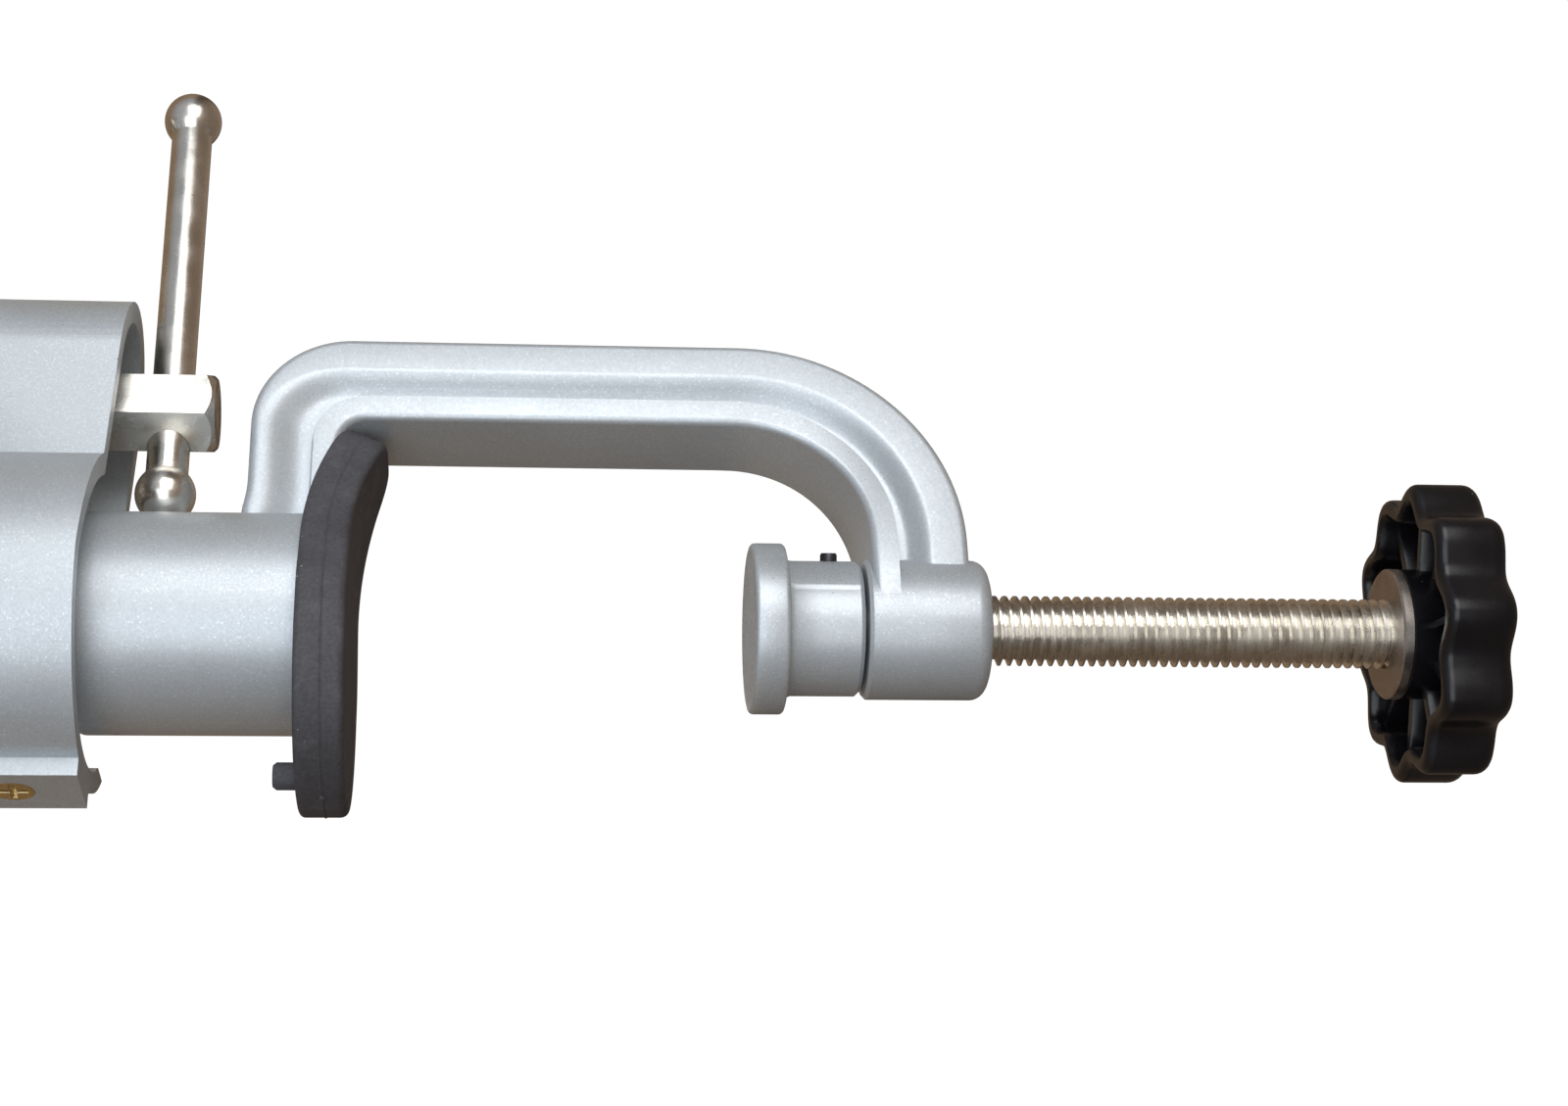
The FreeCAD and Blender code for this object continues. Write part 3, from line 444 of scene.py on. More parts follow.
def uneven_group():
    """Slow lightening and darkening of a colour with fine grain over it: two noises of given
    sizes, the slow one scaled by Cloud and the fine one by Grain."""
    colour, value = "NodeSocketColor", "NodeSocketFloat"
    group, given, result = new_group(
        "uneven_tone",
        [
            ("Colour", colour, (0.5, 0.5, 0.5, 1)),
            ("Cloud Size", value, 12.0),
            ("Cloud", value, 0.1),
            ("Grain Size", value, 0.3),
            ("Grain", value, 0.1),
        ],
        [("Colour", colour), ("Cloud Mask", value), ("Grain Mask", value)],
    )
    factor = None
    place = new_node(group, "ShaderNodeTexCoord").outputs["Object"]
    for label in ("Cloud", "Grain"):
        noise = new_node(group, "ShaderNodeTexNoise", Detail=3.0)
        scale = number(group, "DIVIDE", 1000.0, given.outputs[label + " Size"])
        group.links.new(scale, noise.inputs["Scale"])
        group.links.new(place, noise.inputs["Vector"])
        mask = ramp(group, noise.outputs["Fac"], 0.3, 0.7)
        group.links.new(mask, result.inputs[label + " Mask"])
        swing = number(group, "MULTIPLY", number(group, "SUBTRACT", mask, 0.5), given.outputs[label])
        factor = swing if factor is None else number(group, "ADD", factor, swing)
    bright = number(group, "ADD", factor, 1.0)
    scaled = new_node(group, "ShaderNodeVectorMath", operation="SCALE")
    group.links.new(given.outputs["Colour"], scaled.inputs[0])
    group.links.new(bright, scaled.inputs["Scale"])
    group.links.new(scaled.outputs["Vector"], result.inputs["Colour"])
    return group


def specks_group():
    """Scattered small specks: a Voronoi distance below a size that each cell's random green
    varies, in the cells whose random red is below the share."""
    value = "NodeSocketFloat"
    group, given, result = new_group(
        "scattered_specks",
        [("Spacing", value, 2.0), ("Size", value, 0.2), ("Share", value, 0.5)],
        [("Mask", value)],
    )
    place = new_node(group, "ShaderNodeTexCoord").outputs["Object"]
    cells = new_node(group, "ShaderNodeTexVoronoi")
    scale = number(group, "DIVIDE", 1000.0, given.outputs["Spacing"])
    group.links.new(scale, cells.inputs["Scale"])
    group.links.new(place, cells.inputs["Vector"])
    pick = new_node(group, "ShaderNodeSeparateColor")
    group.links.new(cells.outputs["Color"], pick.inputs["Color"])
    chosen = number(group, "LESS_THAN", pick.outputs["Red"], given.outputs["Share"])
    reach = number(group, "MULTIPLY", given.outputs["Size"], pick.outputs["Green"])
    inside = number(group, "LESS_THAN", cells.outputs["Distance"], reach)
    group.links.new(number(group, "MULTIPLY", chosen, inside), result.inputs["Mask"])
    return group


uneven_tone = uneven_group()
scattered_specks = specks_group()


def new_finish(name, metallic, roughness, **values):
    """A material with its Principled shader, whose constant values are set on the shader."""
    finish = bpy.data.materials.new(name)
    finish.use_nodes = True
    shader = finish.node_tree.nodes["Principled BSDF"]
    shader.inputs["Metallic"].default_value = metallic
    shader.inputs["Roughness"].default_value = roughness
    for label, value in values.items():
        shader.inputs[label.replace("_", " ")].default_value = value
    return finish, finish.node_tree, shader


def toned(tree, colour, cloud_size, cloud, grain_size, grain):
    """The uneven tone group placed in a material with its own values."""
    node = new_node(tree, "ShaderNodeGroup", node_tree=uneven_tone)
    node.inputs["Colour"].default_value = (*colour, 1)
    node.inputs["Cloud Size"].default_value = cloud_size
    node.inputs["Cloud"].default_value = cloud
    node.inputs["Grain Size"].default_value = grain_size
    node.inputs["Grain"].default_value = grain
    return node


def specks(tree, spacing, size, share):
    """The specks group placed in a material with its own values."""
    node = new_node(tree, "ShaderNodeGroup", node_tree=scattered_specks)
    node.inputs["Spacing"].default_value = spacing
    node.inputs["Size"].default_value = size
    node.inputs["Share"].default_value = share
    return node.outputs["Mask"]


def bumped(tree, shader, height, strength, distance):
    """A height put on the shader's normal; the distance is in millimetres."""
    bump = new_node(tree, "ShaderNodeBump", Strength=strength, Distance=distance / 1000)
    tree.links.new(height, bump.inputs["Height"])
    tree.links.new(bump.outputs["Normal"], shader.inputs["Normal"])


def silver_paint_finish():
    """Light blue-grey metallic paint: fine bright flake, slow cloudiness, few dark pinholes."""
    finish, tree, shader = new_finish("silver_paint", 0.45, 0.40)
    tone = toned(tree, (0.52, 0.565, 0.60), 18.0, 0.07, 0.35, 0.16)
    flake = specks(tree, 0.33, 0.5, 0.35)
    pinholes = specks(tree, 5.5, 0.07, 0.35)
    colour = blend_colours(tree, number(tree, "MULTIPLY", flake, 0.35), tone.outputs["Colour"],
                           (0.80, 0.84, 0.88, 1))
    colour = blend_colours(tree, pinholes, colour, (0.10, 0.09, 0.085, 1))
    tree.links.new(colour, shader.inputs["Base Color"])
    rough = number(tree, "ADD", number(tree, "MULTIPLY", flake, -0.12),
                   ramp(tree, tone.outputs["Cloud Mask"], 0, 1, 0.38, 0.48))
    tree.links.new(rough, shader.inputs["Roughness"])
    skin = metre_noise(tree, 0.9, 3.0, 0.6)
    height = number(tree, "ADD", skin.outputs["Fac"], number(tree, "MULTIPLY", pinholes, -1.2))
    bumped(tree, shader, height, 0.35, 0.03)
    return finish


def finish_piece(piece, material, body, nodes):
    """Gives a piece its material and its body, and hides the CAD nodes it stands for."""
    piece.data.materials.clear()
    piece.data.materials.append(material)
    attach(piece, body)
    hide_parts(*nodes)


silver_paint = silver_paint_finish()
finish_piece(clamp_frame, silver_paint, "clamp", ["clamp_frame"])


# Rubber pad.
# A charcoal rubber boot moulded over the frame's plate. It lies flat under the post, tapers and
# bends away towards the spine, and keeps its mould's parting line, a nib and a small pip.

pad_corners = [(-27, -20, 19), (-2, -20, 10), (27.5, -6, 6)]
pad_corners += [(x, -y, radius) for x, y, radius in reversed(pad_corners)]
pad_thickness = 6.7
pad_flat_end = 6.0
pad_bend_radius = 50.0


def even_plan(plan, count):
    """The closed plan sampled again at even steps along its length."""
    loop = np.concatenate([plan, plan[:1]])
    run = np.concatenate([[0], np.cumsum(np.linalg.norm(np.diff(loop, axis=0), axis=1))])
    steps = np.linspace(0, run[-1], count, endpoint=False)
    return np.column_stack([np.interp(steps, run, loop[:, i]) for i in range(2)])


def bent(points):
    """Past the flat's end, the run along X becomes an arc about a centre below: X is the radius
    times the sine of the angle, and Z the radius times its cosine, less the bend's own radius."""
    x, y, z = np.moveaxis(points, -1, 0)
    angle = np.clip(x - pad_flat_end, 0, None) / pad_bend_radius
    radius = pad_bend_radius + z
    bent_x = np.where(x > pad_flat_end, pad_flat_end + radius * np.sin(angle), x)
    bent_z = np.where(x > pad_flat_end, radius * np.cos(angle) - pad_bend_radius, z)
    return np.stack([bent_x, y, bent_z], axis=-1)


def pad_surface():
    """The plan drawn in towards its middle in rings: rings across the bottom, up round the side
    with a low parting ridge, and back across the top. A ring is plan minus inset times the
    way to the middle, over the plan's own reach."""
    plan = even_plan(rounded_plan(pad_corners, 14), 220)
    reach = np.linalg.norm(plan, axis=1, keepdims=True)
    rounding = 1.1
    inset_height = [(reach.min(), 0.0), (12.0, 0.0), (6.0, 0.0), (3.0, 0.0), (1.8, 0.0)]
    inset_height += [
        (rounding * (1 - math.cos(a)), rounding * (1 - math.sin(a)))
        for a in np.radians(np.linspace(90, 0, 6))
    ]
    inset_height += [(0.0, 2.6), (0.0, 2.95), (-0.14, 3.1), (0.0, 3.25), (0.0, 3.6), (0.0, 5.0)]
    inset_height += [
        (0.9 * (1 - math.cos(a)), pad_thickness - 0.9 * (1 - math.sin(a)))
        for a in np.radians(np.linspace(0, 90, 6))
    ]
    inset_height += [(3.0, pad_thickness), (6.0, pad_thickness), (12.0, pad_thickness)]
    inset_height += [(reach.min(), pad_thickness)]
    rings = []
    for inset, height in inset_height:
        share = 0.0 if inset >= reach.min() else 1 - inset / reach
        level_ring = plan * share
        rings.append(np.column_stack([level_ring, np.full(len(plan), height)]))
    points = bent(np.array(rings))
    return points, grid_faces(len(rings), len(plan), wrap_columns=True)


def at_place(shell, place, axis=(0, 0, 1)):
    """A shell drawn about Z, turned so that Z follows the given axis and moved to a place."""
    points, faces = shell
    turn = np.array(Vector((0, 0, 1)).rotation_difference(Vector(axis)).to_matrix())
    return np.asarray(points) @ turn.T + np.asarray(place), faces


pip = turned([(0, 0), (1.9, 0), (1.9, 2.9), (1.5, 3.4), (0, 3.4)], 28)
nib = turned([(0, 0), (0.5, 0), (0.42, 0.5), (0, 0.7)], 12)
table_pad = make_piece(
    "table_pad_rubber",
    [
        pad_surface(),
        at_place(pip, (-23.0, 0.0, 6.5)),
        at_place(nib, (-26.8, -2.0, 3.1), (-1, 0, 0)),
    ],
    50,
)


def rubber_finish():
    """Dull charcoal rubber with grey dust caught in its grain and a few pale crumbs."""
    finish, tree, shader = new_finish("pad_rubber", 0.0, 0.72, Specular_IOR_Level=0.42)
    tone = toned(tree, (0.068, 0.068, 0.078), 9.0, 0.35, 0.5, 0.35)
    crumbs = specks(tree, 1.6, 0.09, 0.5)
    dust = ramp(tree, metre_noise(tree, 3.5, 6.0, 0.7).outputs["Fac"], 0.52, 0.8, 0.0, 0.30)
    colour = blend_colours(tree, dust, tone.outputs["Colour"], (0.22, 0.215, 0.22, 1))
    colour = blend_colours(tree, crumbs, colour, (0.42, 0.41, 0.42, 1))
    tree.links.new(colour, shader.inputs["Base Color"])
    tree.links.new(ramp(tree, tone.outputs["Cloud Mask"], 0, 1, 0.62, 0.8), shader.inputs["Roughness"])
    bumped(tree, shader, metre_noise(tree, 0.5, 5.0, 0.65).outputs["Fac"], 0.5, 0.06)
    return finish


finish_piece(table_pad, rubber_finish(), "clamp", ["table_pad"])


# Ball stud.
# A turned steel ball on a neck, pressed into the top of the post. The head swivels on it, and its
# neck leaves room for the skirt when the head tips over.

ball_radius = 15.0
ball_height = 55.0
neck_radius = 7.5


def from_solid(name, node, bevel, smooth_degrees=32.0, segments=2):
    """A copy of a CAD node's mesh, merged and with its flat faces joined, whose edges get a small
    rounded bevel in millimetres."""
    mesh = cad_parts[node].data.copy()
    mesh.name = name
    work = bmesh.new()
    work.from_mesh(mesh)
    bmesh.ops.remove_doubles(work, verts=work.verts, dist=2e-6)
    bmesh.ops.dissolve_limit(
        work, angle_limit=math.radians(0.6), verts=work.verts, edges=work.edges
    )
    work.to_mesh(mesh)
    work.free()
    mesh.polygons.foreach_set("use_smooth", [True] * len(mesh.polygons))
    mesh.set_sharp_from_angle(angle=math.radians(smooth_degrees))
    piece = bpy.data.objects.new(name, mesh)
    bpy.context.collection.objects.link(piece)
    if bevel:
        rounding = piece.modifiers.new("edge", "BEVEL")
        rounding.width = bevel / 1000
        rounding.segments = segments
        rounding.limit_method = "ANGLE"
        rounding.angle_limit = math.radians(smooth_degrees)
        rounding.harden_normals = True
    return piece


def ball_steel_finish():
    """Turned steel with a thin film of grease: fine rings round the post's axis."""
    finish, tree, shader = new_finish("ball_steel", 1.0, 0.28)
    tone = toned(tree, (0.52, 0.52, 0.52), 6.0, 0.18, 0.25, 0.10)
    tree.links.new(tone.outputs["Colour"], shader.inputs["Base Color"])
    tree.links.new(ramp(tree, tone.outputs["Cloud Mask"], 0, 1, 0.2, 0.38), shader.inputs["Roughness"])
    rings = new_node(tree, "ShaderNodeTexWave", bands_direction="Z", Scale=500.0, Distortion=1.0)
    tree.links.new(new_node(tree, "ShaderNodeTexCoord").outputs["Object"], rings.inputs["Vector"])
    bumped(tree, shader, rings.outputs["Fac"], 0.15, 0.02)
    return finish


ball_profile = [(0, 23.5), (5.0, 23.5), (5.0, 37.5), (neck_radius, 37.5)]
ball_start = math.degrees(math.asin(neck_radius / ball_radius)) - 90
ball_profile += quarter(0, ball_height, ball_radius, ball_start, 90, 40)
ball_stud = make_piece("ball_stud_turned", [turned(ball_profile)])
ball_steel = ball_steel_finish()
finish_piece(ball_stud, ball_steel, "clamp", ["ball_stud"])


# Clamp screw.
# A bright plated M10 screw, rolled thread of 1.5 pitch, with a turned spigot that the foot
# swivels on. Its far end is in the knob's bush.

clamp_pitch = 1.5
clamp_screw_radius = 5.0
clamp_thread_depth = 0.92
clamp_root_radius = clamp_screw_radius - clamp_thread_depth
clamp_thread_low, clamp_thread_high = -155.5, -71.2


def screw_thread(radius, depth, pitch, low, high, steps=64, fade=1.2):
    """A helical thread: rows follow the thread's profile up the screw, and each row climbs one
    pitch in a turn. Height is held between low and high, and the radius falls to the root at
    both ends, so that the ends close."""
    profile_place = np.array([0.0, 0.13, 0.40, 0.60, 0.87])
    profile_depth = np.array([1.0, 1.0, 0.0, 0.0, 1.0])
    turns = int(math.ceil((high - low) / pitch)) + 2
    place = (np.arange(turns)[:, None] + profile_place[None]).ravel() * pitch
    cut = np.tile(profile_depth, turns)
    angle = np.linspace(0, 2 * math.pi, steps + 1)
    height = low - pitch + place[:, None] + pitch * angle[None] / (2 * math.pi)
    near_end = np.clip(np.minimum(height - low, high - height) / fade, 0, 1)
    height = np.clip(height, low, high)
    reach = radius - depth + depth * (1 - cut[:, None]) * near_end
    points = np.stack([reach * np.cos(angle), reach * np.sin(angle), height], axis=-1)
    return points, grid_faces(len(place), steps + 1)


spigot_profile = [(clamp_root_radius, clamp_thread_high), (4.25, clamp_thread_high)]
spigot_profile += [(4.25, -69.2), (3.4, -69.0), (3.4, -64.7)]
spigot_profile += [(4.25, -64.5), (4.25, -62.6), (3.9, -62.2), (0, -62.2)]
end_profile = [(0, clamp_thread_low), (clamp_root_radius, clamp_thread_low)]
clamp_spindle = make_piece(
    "clamp_spindle_threaded",
    [
        screw_thread(
            clamp_screw_radius, clamp_thread_depth, clamp_pitch, clamp_thread_low, clamp_thread_high
        ),
        turned(spigot_profile, 64),
        turned(end_profile, 64),
    ],
    28,
)


def bright_steel_finish():
    """Bright nickel plate: pale warm grey, smooth, slightly clouded, with small scratches."""
    finish, tree, shader = new_finish("bright_steel", 1.0, 0.26)
    tone = toned(tree, (0.80, 0.775, 0.72), 4.0, 0.14, 0.3, 0.12)
    tree.links.new(tone.outputs["Colour"], shader.inputs["Base Color"])
    tree.links.new(ramp(tree, tone.outputs["Cloud Mask"], 0, 1, 0.20, 0.34), shader.inputs["Roughness"])
    bumped(tree, shader, metre_noise(tree, 0.8, 4.0, 0.6).outputs["Fac"], 0.12, 0.03)
    return finish


bright_steel = bright_steel_finish()
finish_piece(clamp_spindle, bright_steel, "clamp_screw", ["clamp_spindle"])


# Swivel foot.
# A painted casting: a flange with a cross-cut face that bites on the table's underside, and a
# hub that holds the screw's spigot.

flange_radius = 12.1
foot_hub_radius = 9.5
foot_face = -55.4
hatch_pitch = 1.1
hatch_depth = 0.28
hub_step = 0.16
hub_step_start, hub_step_end = -79.0, 25.0


def foot_shell():
    """A ring about Z from the bore round the hub and flange to the face, whose inner rings sink by
    the higher of two crossed triangle waves squared, up to the hatch depth. Between two angles the
    hub stands out by the mould's small step."""
    profile = [(0, -61.9), (4.3, -61.9), (4.3, -70.6), (4.7, -70.9), (8.9, -70.9)]
    profile += [(foot_hub_radius, -70.3), (foot_hub_radius, -65.0), (foot_hub_radius, -61.2)]
    profile += [(9.8, -60.5), (10.4, -60.2), (11.5, -60.2)]
    profile += quarter(11.5, -59.6, 0.6, -90, 0, 4) + [(flange_radius, -57.0)]
    profile += quarter(11.5, -56.0, 0.6, 0, 90, 4)
    face_radii = np.linspace(11.2, 0, 44)
    profile += [(r, foot_face) for r in face_radii]
    points, faces = turned(profile, 180)
    face = points[-44:]
    x, y = face[..., 0], face[..., 1]
    waves = [
        np.abs(((across / hatch_pitch) % 1.0) - 0.5) * 2
        for across in ((x + y) / math.sqrt(2), (x - y) / math.sqrt(2))
    ]
    sunk = hatch_depth * np.maximum(waves[0], waves[1]) ** 2
    sunk[face_radii > 11.0] = 0
    points[-44:, :, 2] -= sunk
    hub = (points[..., 2] < -61.0) & (np.hypot(points[..., 0], points[..., 1]) > 8.5)
    angle = np.degrees(np.arctan2(points[..., 1], points[..., 0]))
    raised = hub & (angle > hub_step_start) & (angle < hub_step_end)
    points[..., :2] *= np.where(raised, 1 + hub_step / foot_hub_radius, 1.0)[..., None]
    return points, faces


swivel_foot = make_piece("swivel_foot_cast", [foot_shell()], 40)
finish_piece(swivel_foot, silver_paint, "foot", ["swivel_foot"])


# Foot grub screw.
# A blackened grub screw, screwed into the hub and standing proud of it. Its tip runs in the
# spigot's groove and holds the foot on the screw.

grub_angle = math.radians(-27.0)
grub_axis = (math.cos(grub_angle), math.sin(grub_angle), 0)
grub_profile = [(0, 3.7), (1.0, 3.7), (1.2, 4.0), (1.2, 10.5), (1.05, 10.8), (0.62, 10.8)]
grub_profile += [(0.6, 9.4), (0, 9.3)]
foot_grub = make_piece(
    "foot_grub_screw_black", [at_place(turned(grub_profile, 36), (0, 0, -66.6), grub_axis)]
)


def blackened_finish():
    """Oil-blackened steel, a little worn to grey."""
    finish, tree, shader = new_finish("blackened_steel", 0.8, 0.4)
    tone = toned(tree, (0.05, 0.05, 0.055), 1.2, 0.5, 0.2, 0.3)
    tree.links.new(tone.outputs["Colour"], shader.inputs["Base Color"])
    tree.links.new(ramp(tree, tone.outputs["Grain Mask"], 0, 1, 0.32, 0.5), shader.inputs["Roughness"])
    return finish


blackened_steel = blackened_finish()
finish_piece(foot_grub, blackened_steel, "foot", ["foot_grub_screw"])


# Knob bush.
# The turned metal bush moulded into the knob and fixed on the clamp screw's end; its dull
# flange shows round the screw.

bush_profile = [(5.0, -147.5), (9.1, -147.5), (9.4, -147.8), (9.4, -149.0), (7.0, -149.0)]
bush_profile += [(7.0, -158.6), (0.01, -158.6), (0.01, -155.5), (5.0, -155.5)]
knob_bush = make_piece("knob_bush_turned", [ring(bush_profile, 72)])


def bush_finish():
    """Dull brown-grey metal with turning marks."""
    finish, tree, shader = new_finish("bush_metal", 1.0, 0.42)
    tone = toned(tree, (0.40, 0.355, 0.32), 3.0, 0.3, 0.3, 0.25)
    tree.links.new(tone.outputs["Colour"], shader.inputs["Base Color"])
    tree.links.new(ramp(tree, tone.outputs["Cloud Mask"], 0, 1, 0.34, 0.52), shader.inputs["Roughness"])
    bumped(tree, shader, metre_noise(tree, 0.6, 3.0, 0.5).outputs["Fac"], 0.2, 0.03)
    return finish


finish_piece(knob_bush, bush_finish(), "clamp_screw", ["knob_bush"])


# Star knob.
# Glossy black moulded plastic with ten smooth lobes, a dished face with thin ribs round its hub,
# and a rounded back.

knob_radius = 21.8
knob_lobes = 10
lobe_depth = 2.6
knob_face = -150.0
knob_back = -160.2
rim_width = 2.6
hub_radius = 9.4


def knob_shell():
    """Rings round the knob's axis. Outside the dish, a ring's radius is its own share of the lobed
    edge, whose radius dips by half the lobe depth times one minus the cosine of ten times the
    angle; the dish's wall runs along that edge, and rings on the hub are plain circles."""
    angle = np.linspace(0, 2 * math.pi, 360, endpoint=False)
    edge = knob_radius - lobe_depth * (1 - np.cos(knob_lobes * angle)) / 2
    back_round, face_round = 2.4, 1.4
    rings = [(radius, 0.0, knob_back) for radius in (0.0, 4.0, 10.0, 15.0)]
    for a in np.radians(np.linspace(90, 0, 8)):
        rings.append((-back_round * (1 - math.cos(a)), 1.0, knob_back + back_round * (1 - math.sin(a))))
    rings.append((0.0, 1.0, (knob_back + knob_face) / 2))
    for a in np.radians(np.linspace(0, 90, 6)):
        rings.append((-face_round * (1 - math.cos(a)), 1.0, knob_face - face_round * (1 - math.sin(a))))
    floor = knob_face - 7.0
    rings += [(0.4 - rim_width, 1.0, knob_face), (-rim_width, 1.0, knob_face - 0.4)]
    rings += [(-0.2 - rim_width, 1.0, knob_face - 1.5), (-0.5 - rim_width, 1.0, floor + 0.8)]
    rings += [(-1.2 - rim_width, 1.0, floor), (hub_radius + 0.6, 0.0, floor)]
    rings += [(hub_radius, 0.0, floor + 0.6), (hub_radius, 0.0, -149.3)]
    rings += [(hub_radius - 0.3, 0.0, -149.0), (7.02, 0.0, -149.0)]
    rings += [(7.02, 0.0, -158.6), (0.0, 0.0, -158.6)]
    points = []
    for reach, lobed, height in rings:
        radius = reach + lobed * edge
        heights = np.full(360, height)
        points.append(np.stack([radius * np.cos(angle), radius * np.sin(angle), heights], -1))
    return np.array(points), grid_faces(len(rings), 360, wrap_columns=True)


def knob_rib(index):
    """A thin straight rib from hub to rim with a rounded top, turned to its place."""
    inner, outer = hub_radius - 0.3, knob_radius - rim_width + 0.1
    half, top, low = 0.8, knob_face - 2.0, -157.2
    section = [(-half, low), (-half, top - 0.5), (-half * 0.6, top), (half * 0.6, top)]
    section += [(half, top - 0.5), (half, low)]
    x = np.linspace(inner, outer, 4)
    y, z = np.array(section).T
    points = np.stack(
        [
            np.repeat(x[:, None], len(y), 1),
            np.repeat(y[None], 4, 0),
            np.repeat(z[None], 4, 0),
        ],
        axis=-1,
    )
    turn = 2 * math.pi * index / knob_lobes
    across = points[..., 0] * math.cos(turn) - points[..., 1] * math.sin(turn)
    along = points[..., 0] * math.sin(turn) + points[..., 1] * math.cos(turn)
    points = np.stack([across, along, points[..., 2]], axis=-1)
    faces = list(grid_faces(4, len(y), wrap_columns=True))
    faces += [np.arange(len(y)), np.arange(len(y))[::-1] + 3 * len(y)]
    return points, faces


knob_shells = [knob_shell()] + [knob_rib(index) for index in range(knob_lobes)]
star_knob = make_piece("star_knob_moulded", knob_shells, 40)


def black_plastic_finish():
    """Glossy black plastic with faint orange peel, hair scratches and light dust."""
    finish, tree, shader = new_finish("black_plastic", 0.0, 0.25, Specular_IOR_Level=0.40)
    tone = toned(tree, (0.006, 0.006, 0.008), 7.0, 0.4, 0.4, 0.3)
    dust = specks(tree, 1.4, 0.06, 0.35)
    colour = blend_colours(tree, dust, tone.outputs["Colour"], (0.20, 0.20, 0.21, 1))
    tree.links.new(colour, shader.inputs["Base Color"])
    tree.links.new(ramp(tree, tone.outputs["Cloud Mask"], 0, 1, 0.20, 0.34), shader.inputs["Roughness"])
    bumped(tree, shader, metre_noise(tree, 1.6, 3.0, 0.5).outputs["Fac"], 0.25, 0.04)
    return finish


finish_piece(star_knob, black_plastic_finish(), "clamp_screw", ["star_knob"])


# Vise body.
# The head casting: a skirt round the ball, the nose for the lock bolt, the beam's tunnel and the
# fixed jaw, all in the same silver paint.

vise_body = from_solid("vise_body_cast", "vise_body", 0.8, 30, 3)
finish_piece(vise_body, silver_paint, "head", ["vise_body"])


# Clamp bridge and its screw.
# A plated plate that draws the ball up into its seat, held at the rear by a yellow-plated
# cross-head screw and pulled up at the front by the lock bolt.

clamp_bridge = from_solid("clamp_bridge_plated", "clamp_bridge", 0.5)
finish_piece(clamp_bridge, bright_steel, "head", ["clamp_bridge"])


def yellow_zinc_finish():
    """Yellow passivated zinc: dull gold with faint pink and green patches."""
    finish, tree, shader = new_finish("yellow_zinc", 1.0, 0.3)
    tone = toned(tree, (0.66, 0.54, 0.27), 2.0, 0.2, 0.3, 0.15)
    tint = blend_colours(
        tree,
        ramp(tree, metre_noise(tree, 2.5).outputs["Fac"], 0.4, 0.6, 0.0, 0.35),
        tone.outputs["Colour"],
        (0.62, 0.50, 0.40, 1),
    )
    tree.links.new(tint, shader.inputs["Base Color"])
    tree.links.new(ramp(tree, tone.outputs["Grain Mask"], 0, 1, 0.24, 0.4), shader.inputs["Roughness"])
    return finish


yellow_zinc = yellow_zinc_finish()
bridge_screw = from_solid("bridge_screw_plated", "bridge_screw", 0.15)
finish_piece(bridge_screw, yellow_zinc, "head", ["bridge_screw"])


# Lock bolt, washer, nut and bar.
# A plated hexagon bolt with a cross hole; its sliding bar has a ball at each end, and its washer
# and nut pull the bridge up.

lock_bolt = from_solid("lock_bolt_plated", "lock_bolt", 0.35, 28, 3)
finish_piece(lock_bolt, bright_steel, "lock_screw", ["lock_bolt"])
lock_washer = from_solid("lock_washer_plated", "lock_washer", 0.2)
finish_piece(lock_washer, bright_steel, "lock_slide", ["lock_washer"])
lock_nut = from_solid("lock_nut_plated", "lock_nut", 0.3)
finish_piece(lock_nut, bright_steel, "head", ["lock_nut"])


def ball_ended_bar(radius, ball, low, high):
    """Profile of a bar with a ball centred on each end: the ball narrows into a short collar."""
    start = math.degrees(math.asin(radius / ball))
    lower = [(low + ball * math.cos(math.radians(a)), ball * math.sin(math.radians(a)))
             for a in np.linspace(180, start, 18)]
    upper = [(high + ball * math.cos(math.radians(a)), ball * math.sin(math.radians(a)))
             for a in np.linspace(180 - start, 0, 18)]
    run = lower + [(low + ball + 1.0, radius), ((low + high) / 2, radius), (high - ball - 1.0, radius)]
    return [(max(0.0, r), z) for z, r in run + upper]


lock_bar = make_piece(
    "lock_bar_plated",
    [at_place(turned(ball_ended_bar(3.0, 4.3, 20.5, 86.0), 56), (0, 0, 27.0), (1, 0, 0))],
)
finish_piece(lock_bar, bright_steel, "lock_handle", ["lock_bar"])


# Ball liner.
# A thin cap of natural plastic between the ball and its seat. It is moulded, and turns with the
# head but doesn't tip with it.


def liner_finish():
    """Natural nylon, slightly yellowed."""
    finish, tree, shader = new_finish("liner_plastic", 0.0, 0.5)
    tone = toned(tree, (0.74, 0.70, 0.60), 5.0, 0.1, 0.4, 0.06)
    tree.links.new(tone.outputs["Colour"], shader.inputs["Base Color"])
    return finish


ball_liner = from_solid("ball_liner_moulded", "ball_liner", 0.15)
finish_piece(ball_liner, liner_finish(), "swivel", ["ball_liner"])


# Moving jaw.
# The front jaw casting, painted like the head. Its hollow beam slides in the head's tunnel and
# covers the jaw screw.

moving_jaw = from_solid("moving_jaw_cast", "moving_jaw", 0.8, 30, 3)
finish_piece(moving_jaw, silver_paint, "front_jaw", ["moving_jaw"])


# Jaw pads and their screws.
# Ground and hardened steel plates with level grooves across their faces, each held on its jaw
# by two blackened countersunk screws.


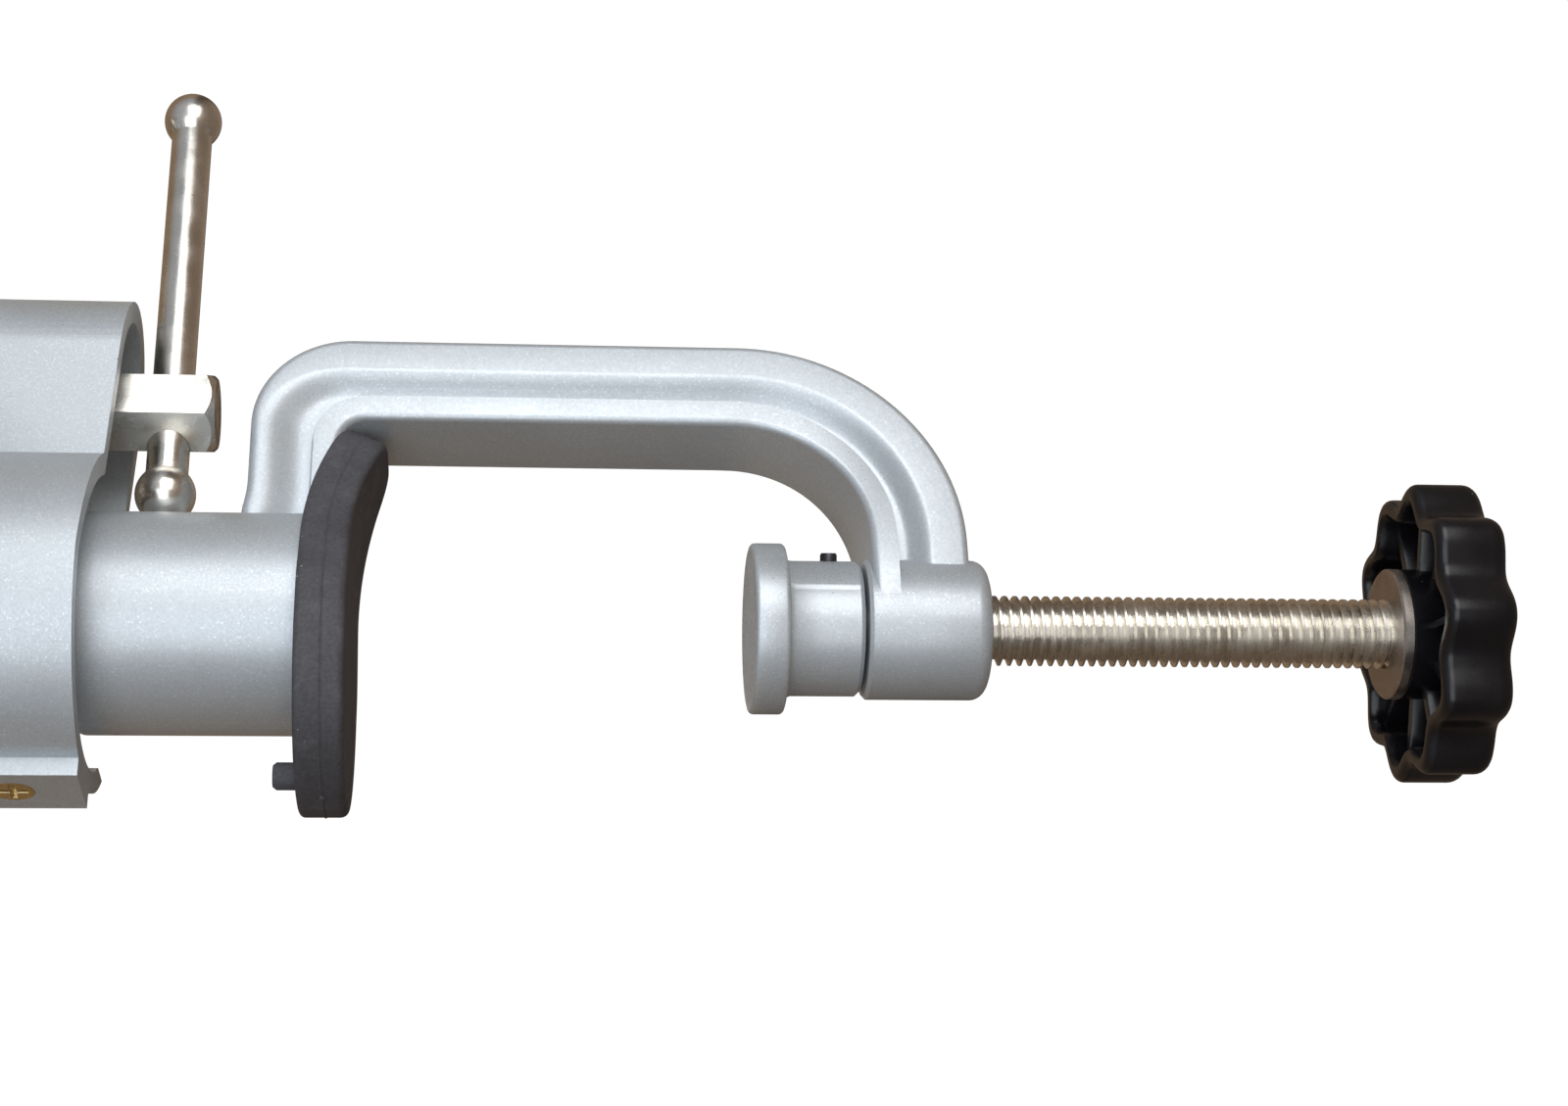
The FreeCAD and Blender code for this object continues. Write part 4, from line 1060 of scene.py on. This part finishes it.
def ground_steel_finish():
    """Ground steel: grey, with fine level scratches from the grinding wheel."""
    finish, tree, shader = new_finish("pad_steel", 1.0, 0.34)
    tone = toned(tree, (0.42, 0.42, 0.43), 6.0, 0.2, 0.3, 0.15)
    tree.links.new(tone.outputs["Colour"], shader.inputs["Base Color"])
    place = new_node(tree, "ShaderNodeTexCoord").outputs["Object"]
    stretch = new_node(tree, "ShaderNodeMapping")
    stretch.inputs["Scale"].default_value = (1.0, 0.03, 1.0)
    tree.links.new(place, stretch.inputs["Vector"])
    lines = metre_noise(tree, 0.25, 3.0, 0.6, stretch.outputs["Vector"])
    tree.links.new(ramp(tree, lines.outputs["Fac"], 0.3, 0.7, 0.26, 0.46), shader.inputs["Roughness"])
    bumped(tree, shader, lines.outputs["Fac"], 0.25, 0.02)
    return finish


ground_steel = ground_steel_finish()
for jaw, body in (("fixed", "head"), ("moving", "front_jaw")):
    jaw_pad = from_solid(jaw + "_jaw_pad_ground", jaw + "_jaw_pad", 0.25)
    finish_piece(jaw_pad, ground_steel, body, [jaw + "_jaw_pad"])
    pad_screws = from_solid(jaw + "_pad_screws_black", jaw + "_pad_screws", 0.15)
    finish_piece(pad_screws, blackened_steel, body, [jaw + "_pad_screws"])


# Jaw screw, its nut and its bar.
# The plated jaw screw turns in the front jaw, held by a circlip, and runs in a brass nut fixed
# in the tunnel. Its sliding bar has a ball at each end.

jaw_pitch = 2.0
jaw_screw_height = 86.0
jaw_screw_radius = 6.0
jaw_thread_depth = 1.1
jaw_screw_rear = -43.0
jaw_bar_x = 81.2
circlip_start = 43.75
plain_start = circlip_start - 4.0


def jaw_screw_shells():
    """The thread drawn about Z, then the plain neck, the circlip's groove and the hub as one
    profile turned about the same line; all of it is laid along X."""
    neck = [(0, plain_start - 0.6), (5.0, plain_start - 0.6), (6.0, plain_start + 0.6)]
    neck += [(6.0, circlip_start), (5.3, circlip_start), (5.3, circlip_start + 1.2)]
    neck += [(6.0, circlip_start + 1.2), (6.0, 65.5), (8.8, 65.5), (9.0, 65.7)]
    neck += [(7.5 + 1.5 * math.cos(a), 86.5 + 1.5 * math.sin(a)) for a in np.linspace(0, math.pi / 2, 8)]
    neck += [(0, 88.0)]
    rear = [(0, jaw_screw_rear), (jaw_screw_radius - jaw_thread_depth, jaw_screw_rear)]
    thread = screw_thread(jaw_screw_radius, jaw_thread_depth, jaw_pitch, jaw_screw_rear, plain_start)
    place = (0, 0, jaw_screw_height)
    return [at_place(shell, place, (1, 0, 0)) for shell in (thread, turned(rear, 64), turned(neck, 64))]


jaw_spindle = make_piece("jaw_spindle_threaded", jaw_screw_shells(), 28)
finish_piece(jaw_spindle, bright_steel, "jaw_screw", ["jaw_spindle"])
jaw_circlip = from_solid("jaw_circlip_black", "jaw_circlip", 0.1)
finish_piece(jaw_circlip, blackened_steel, "jaw_screw", ["jaw_circlip"])
thrust_washer = from_solid("jaw_thrust_washer_plated", "jaw_thrust_washer", 0.15)
finish_piece(thrust_washer, bright_steel, "front_jaw", ["jaw_thrust_washer"])


def brass_finish():
    """Machined brass with fine feed marks."""
    finish, tree, shader = new_finish("nut_metal", 1.0, 0.3)
    tone = toned(tree, (0.66, 0.52, 0.28), 4.0, 0.15, 0.3, 0.1)
    tree.links.new(tone.outputs["Colour"], shader.inputs["Base Color"])
    tree.links.new(ramp(tree, tone.outputs["Grain Mask"], 0, 1, 0.22, 0.4), shader.inputs["Roughness"])
    return finish


jaw_nut = from_solid("jaw_nut_machined", "jaw_nut", 0.3)
finish_piece(jaw_nut, brass_finish(), "head", ["jaw_nut"])
jaw_nut_screws = from_solid("jaw_nut_screws_plated", "jaw_nut_screws", 0.12)
finish_piece(jaw_nut_screws, yellow_zinc, "head", ["jaw_nut_screws"])
jaw_bar_shell = turned(ball_ended_bar(3.5, 4.6, -38.0, 38.0), 56)
jaw_bar = make_piece(
    "jaw_bar_plated", [at_place(jaw_bar_shell, (jaw_bar_x, 0, jaw_screw_height), (0, 1, 0))]
)
finish_piece(jaw_bar, bright_steel, "jaw_handle", ["jaw_bar"])
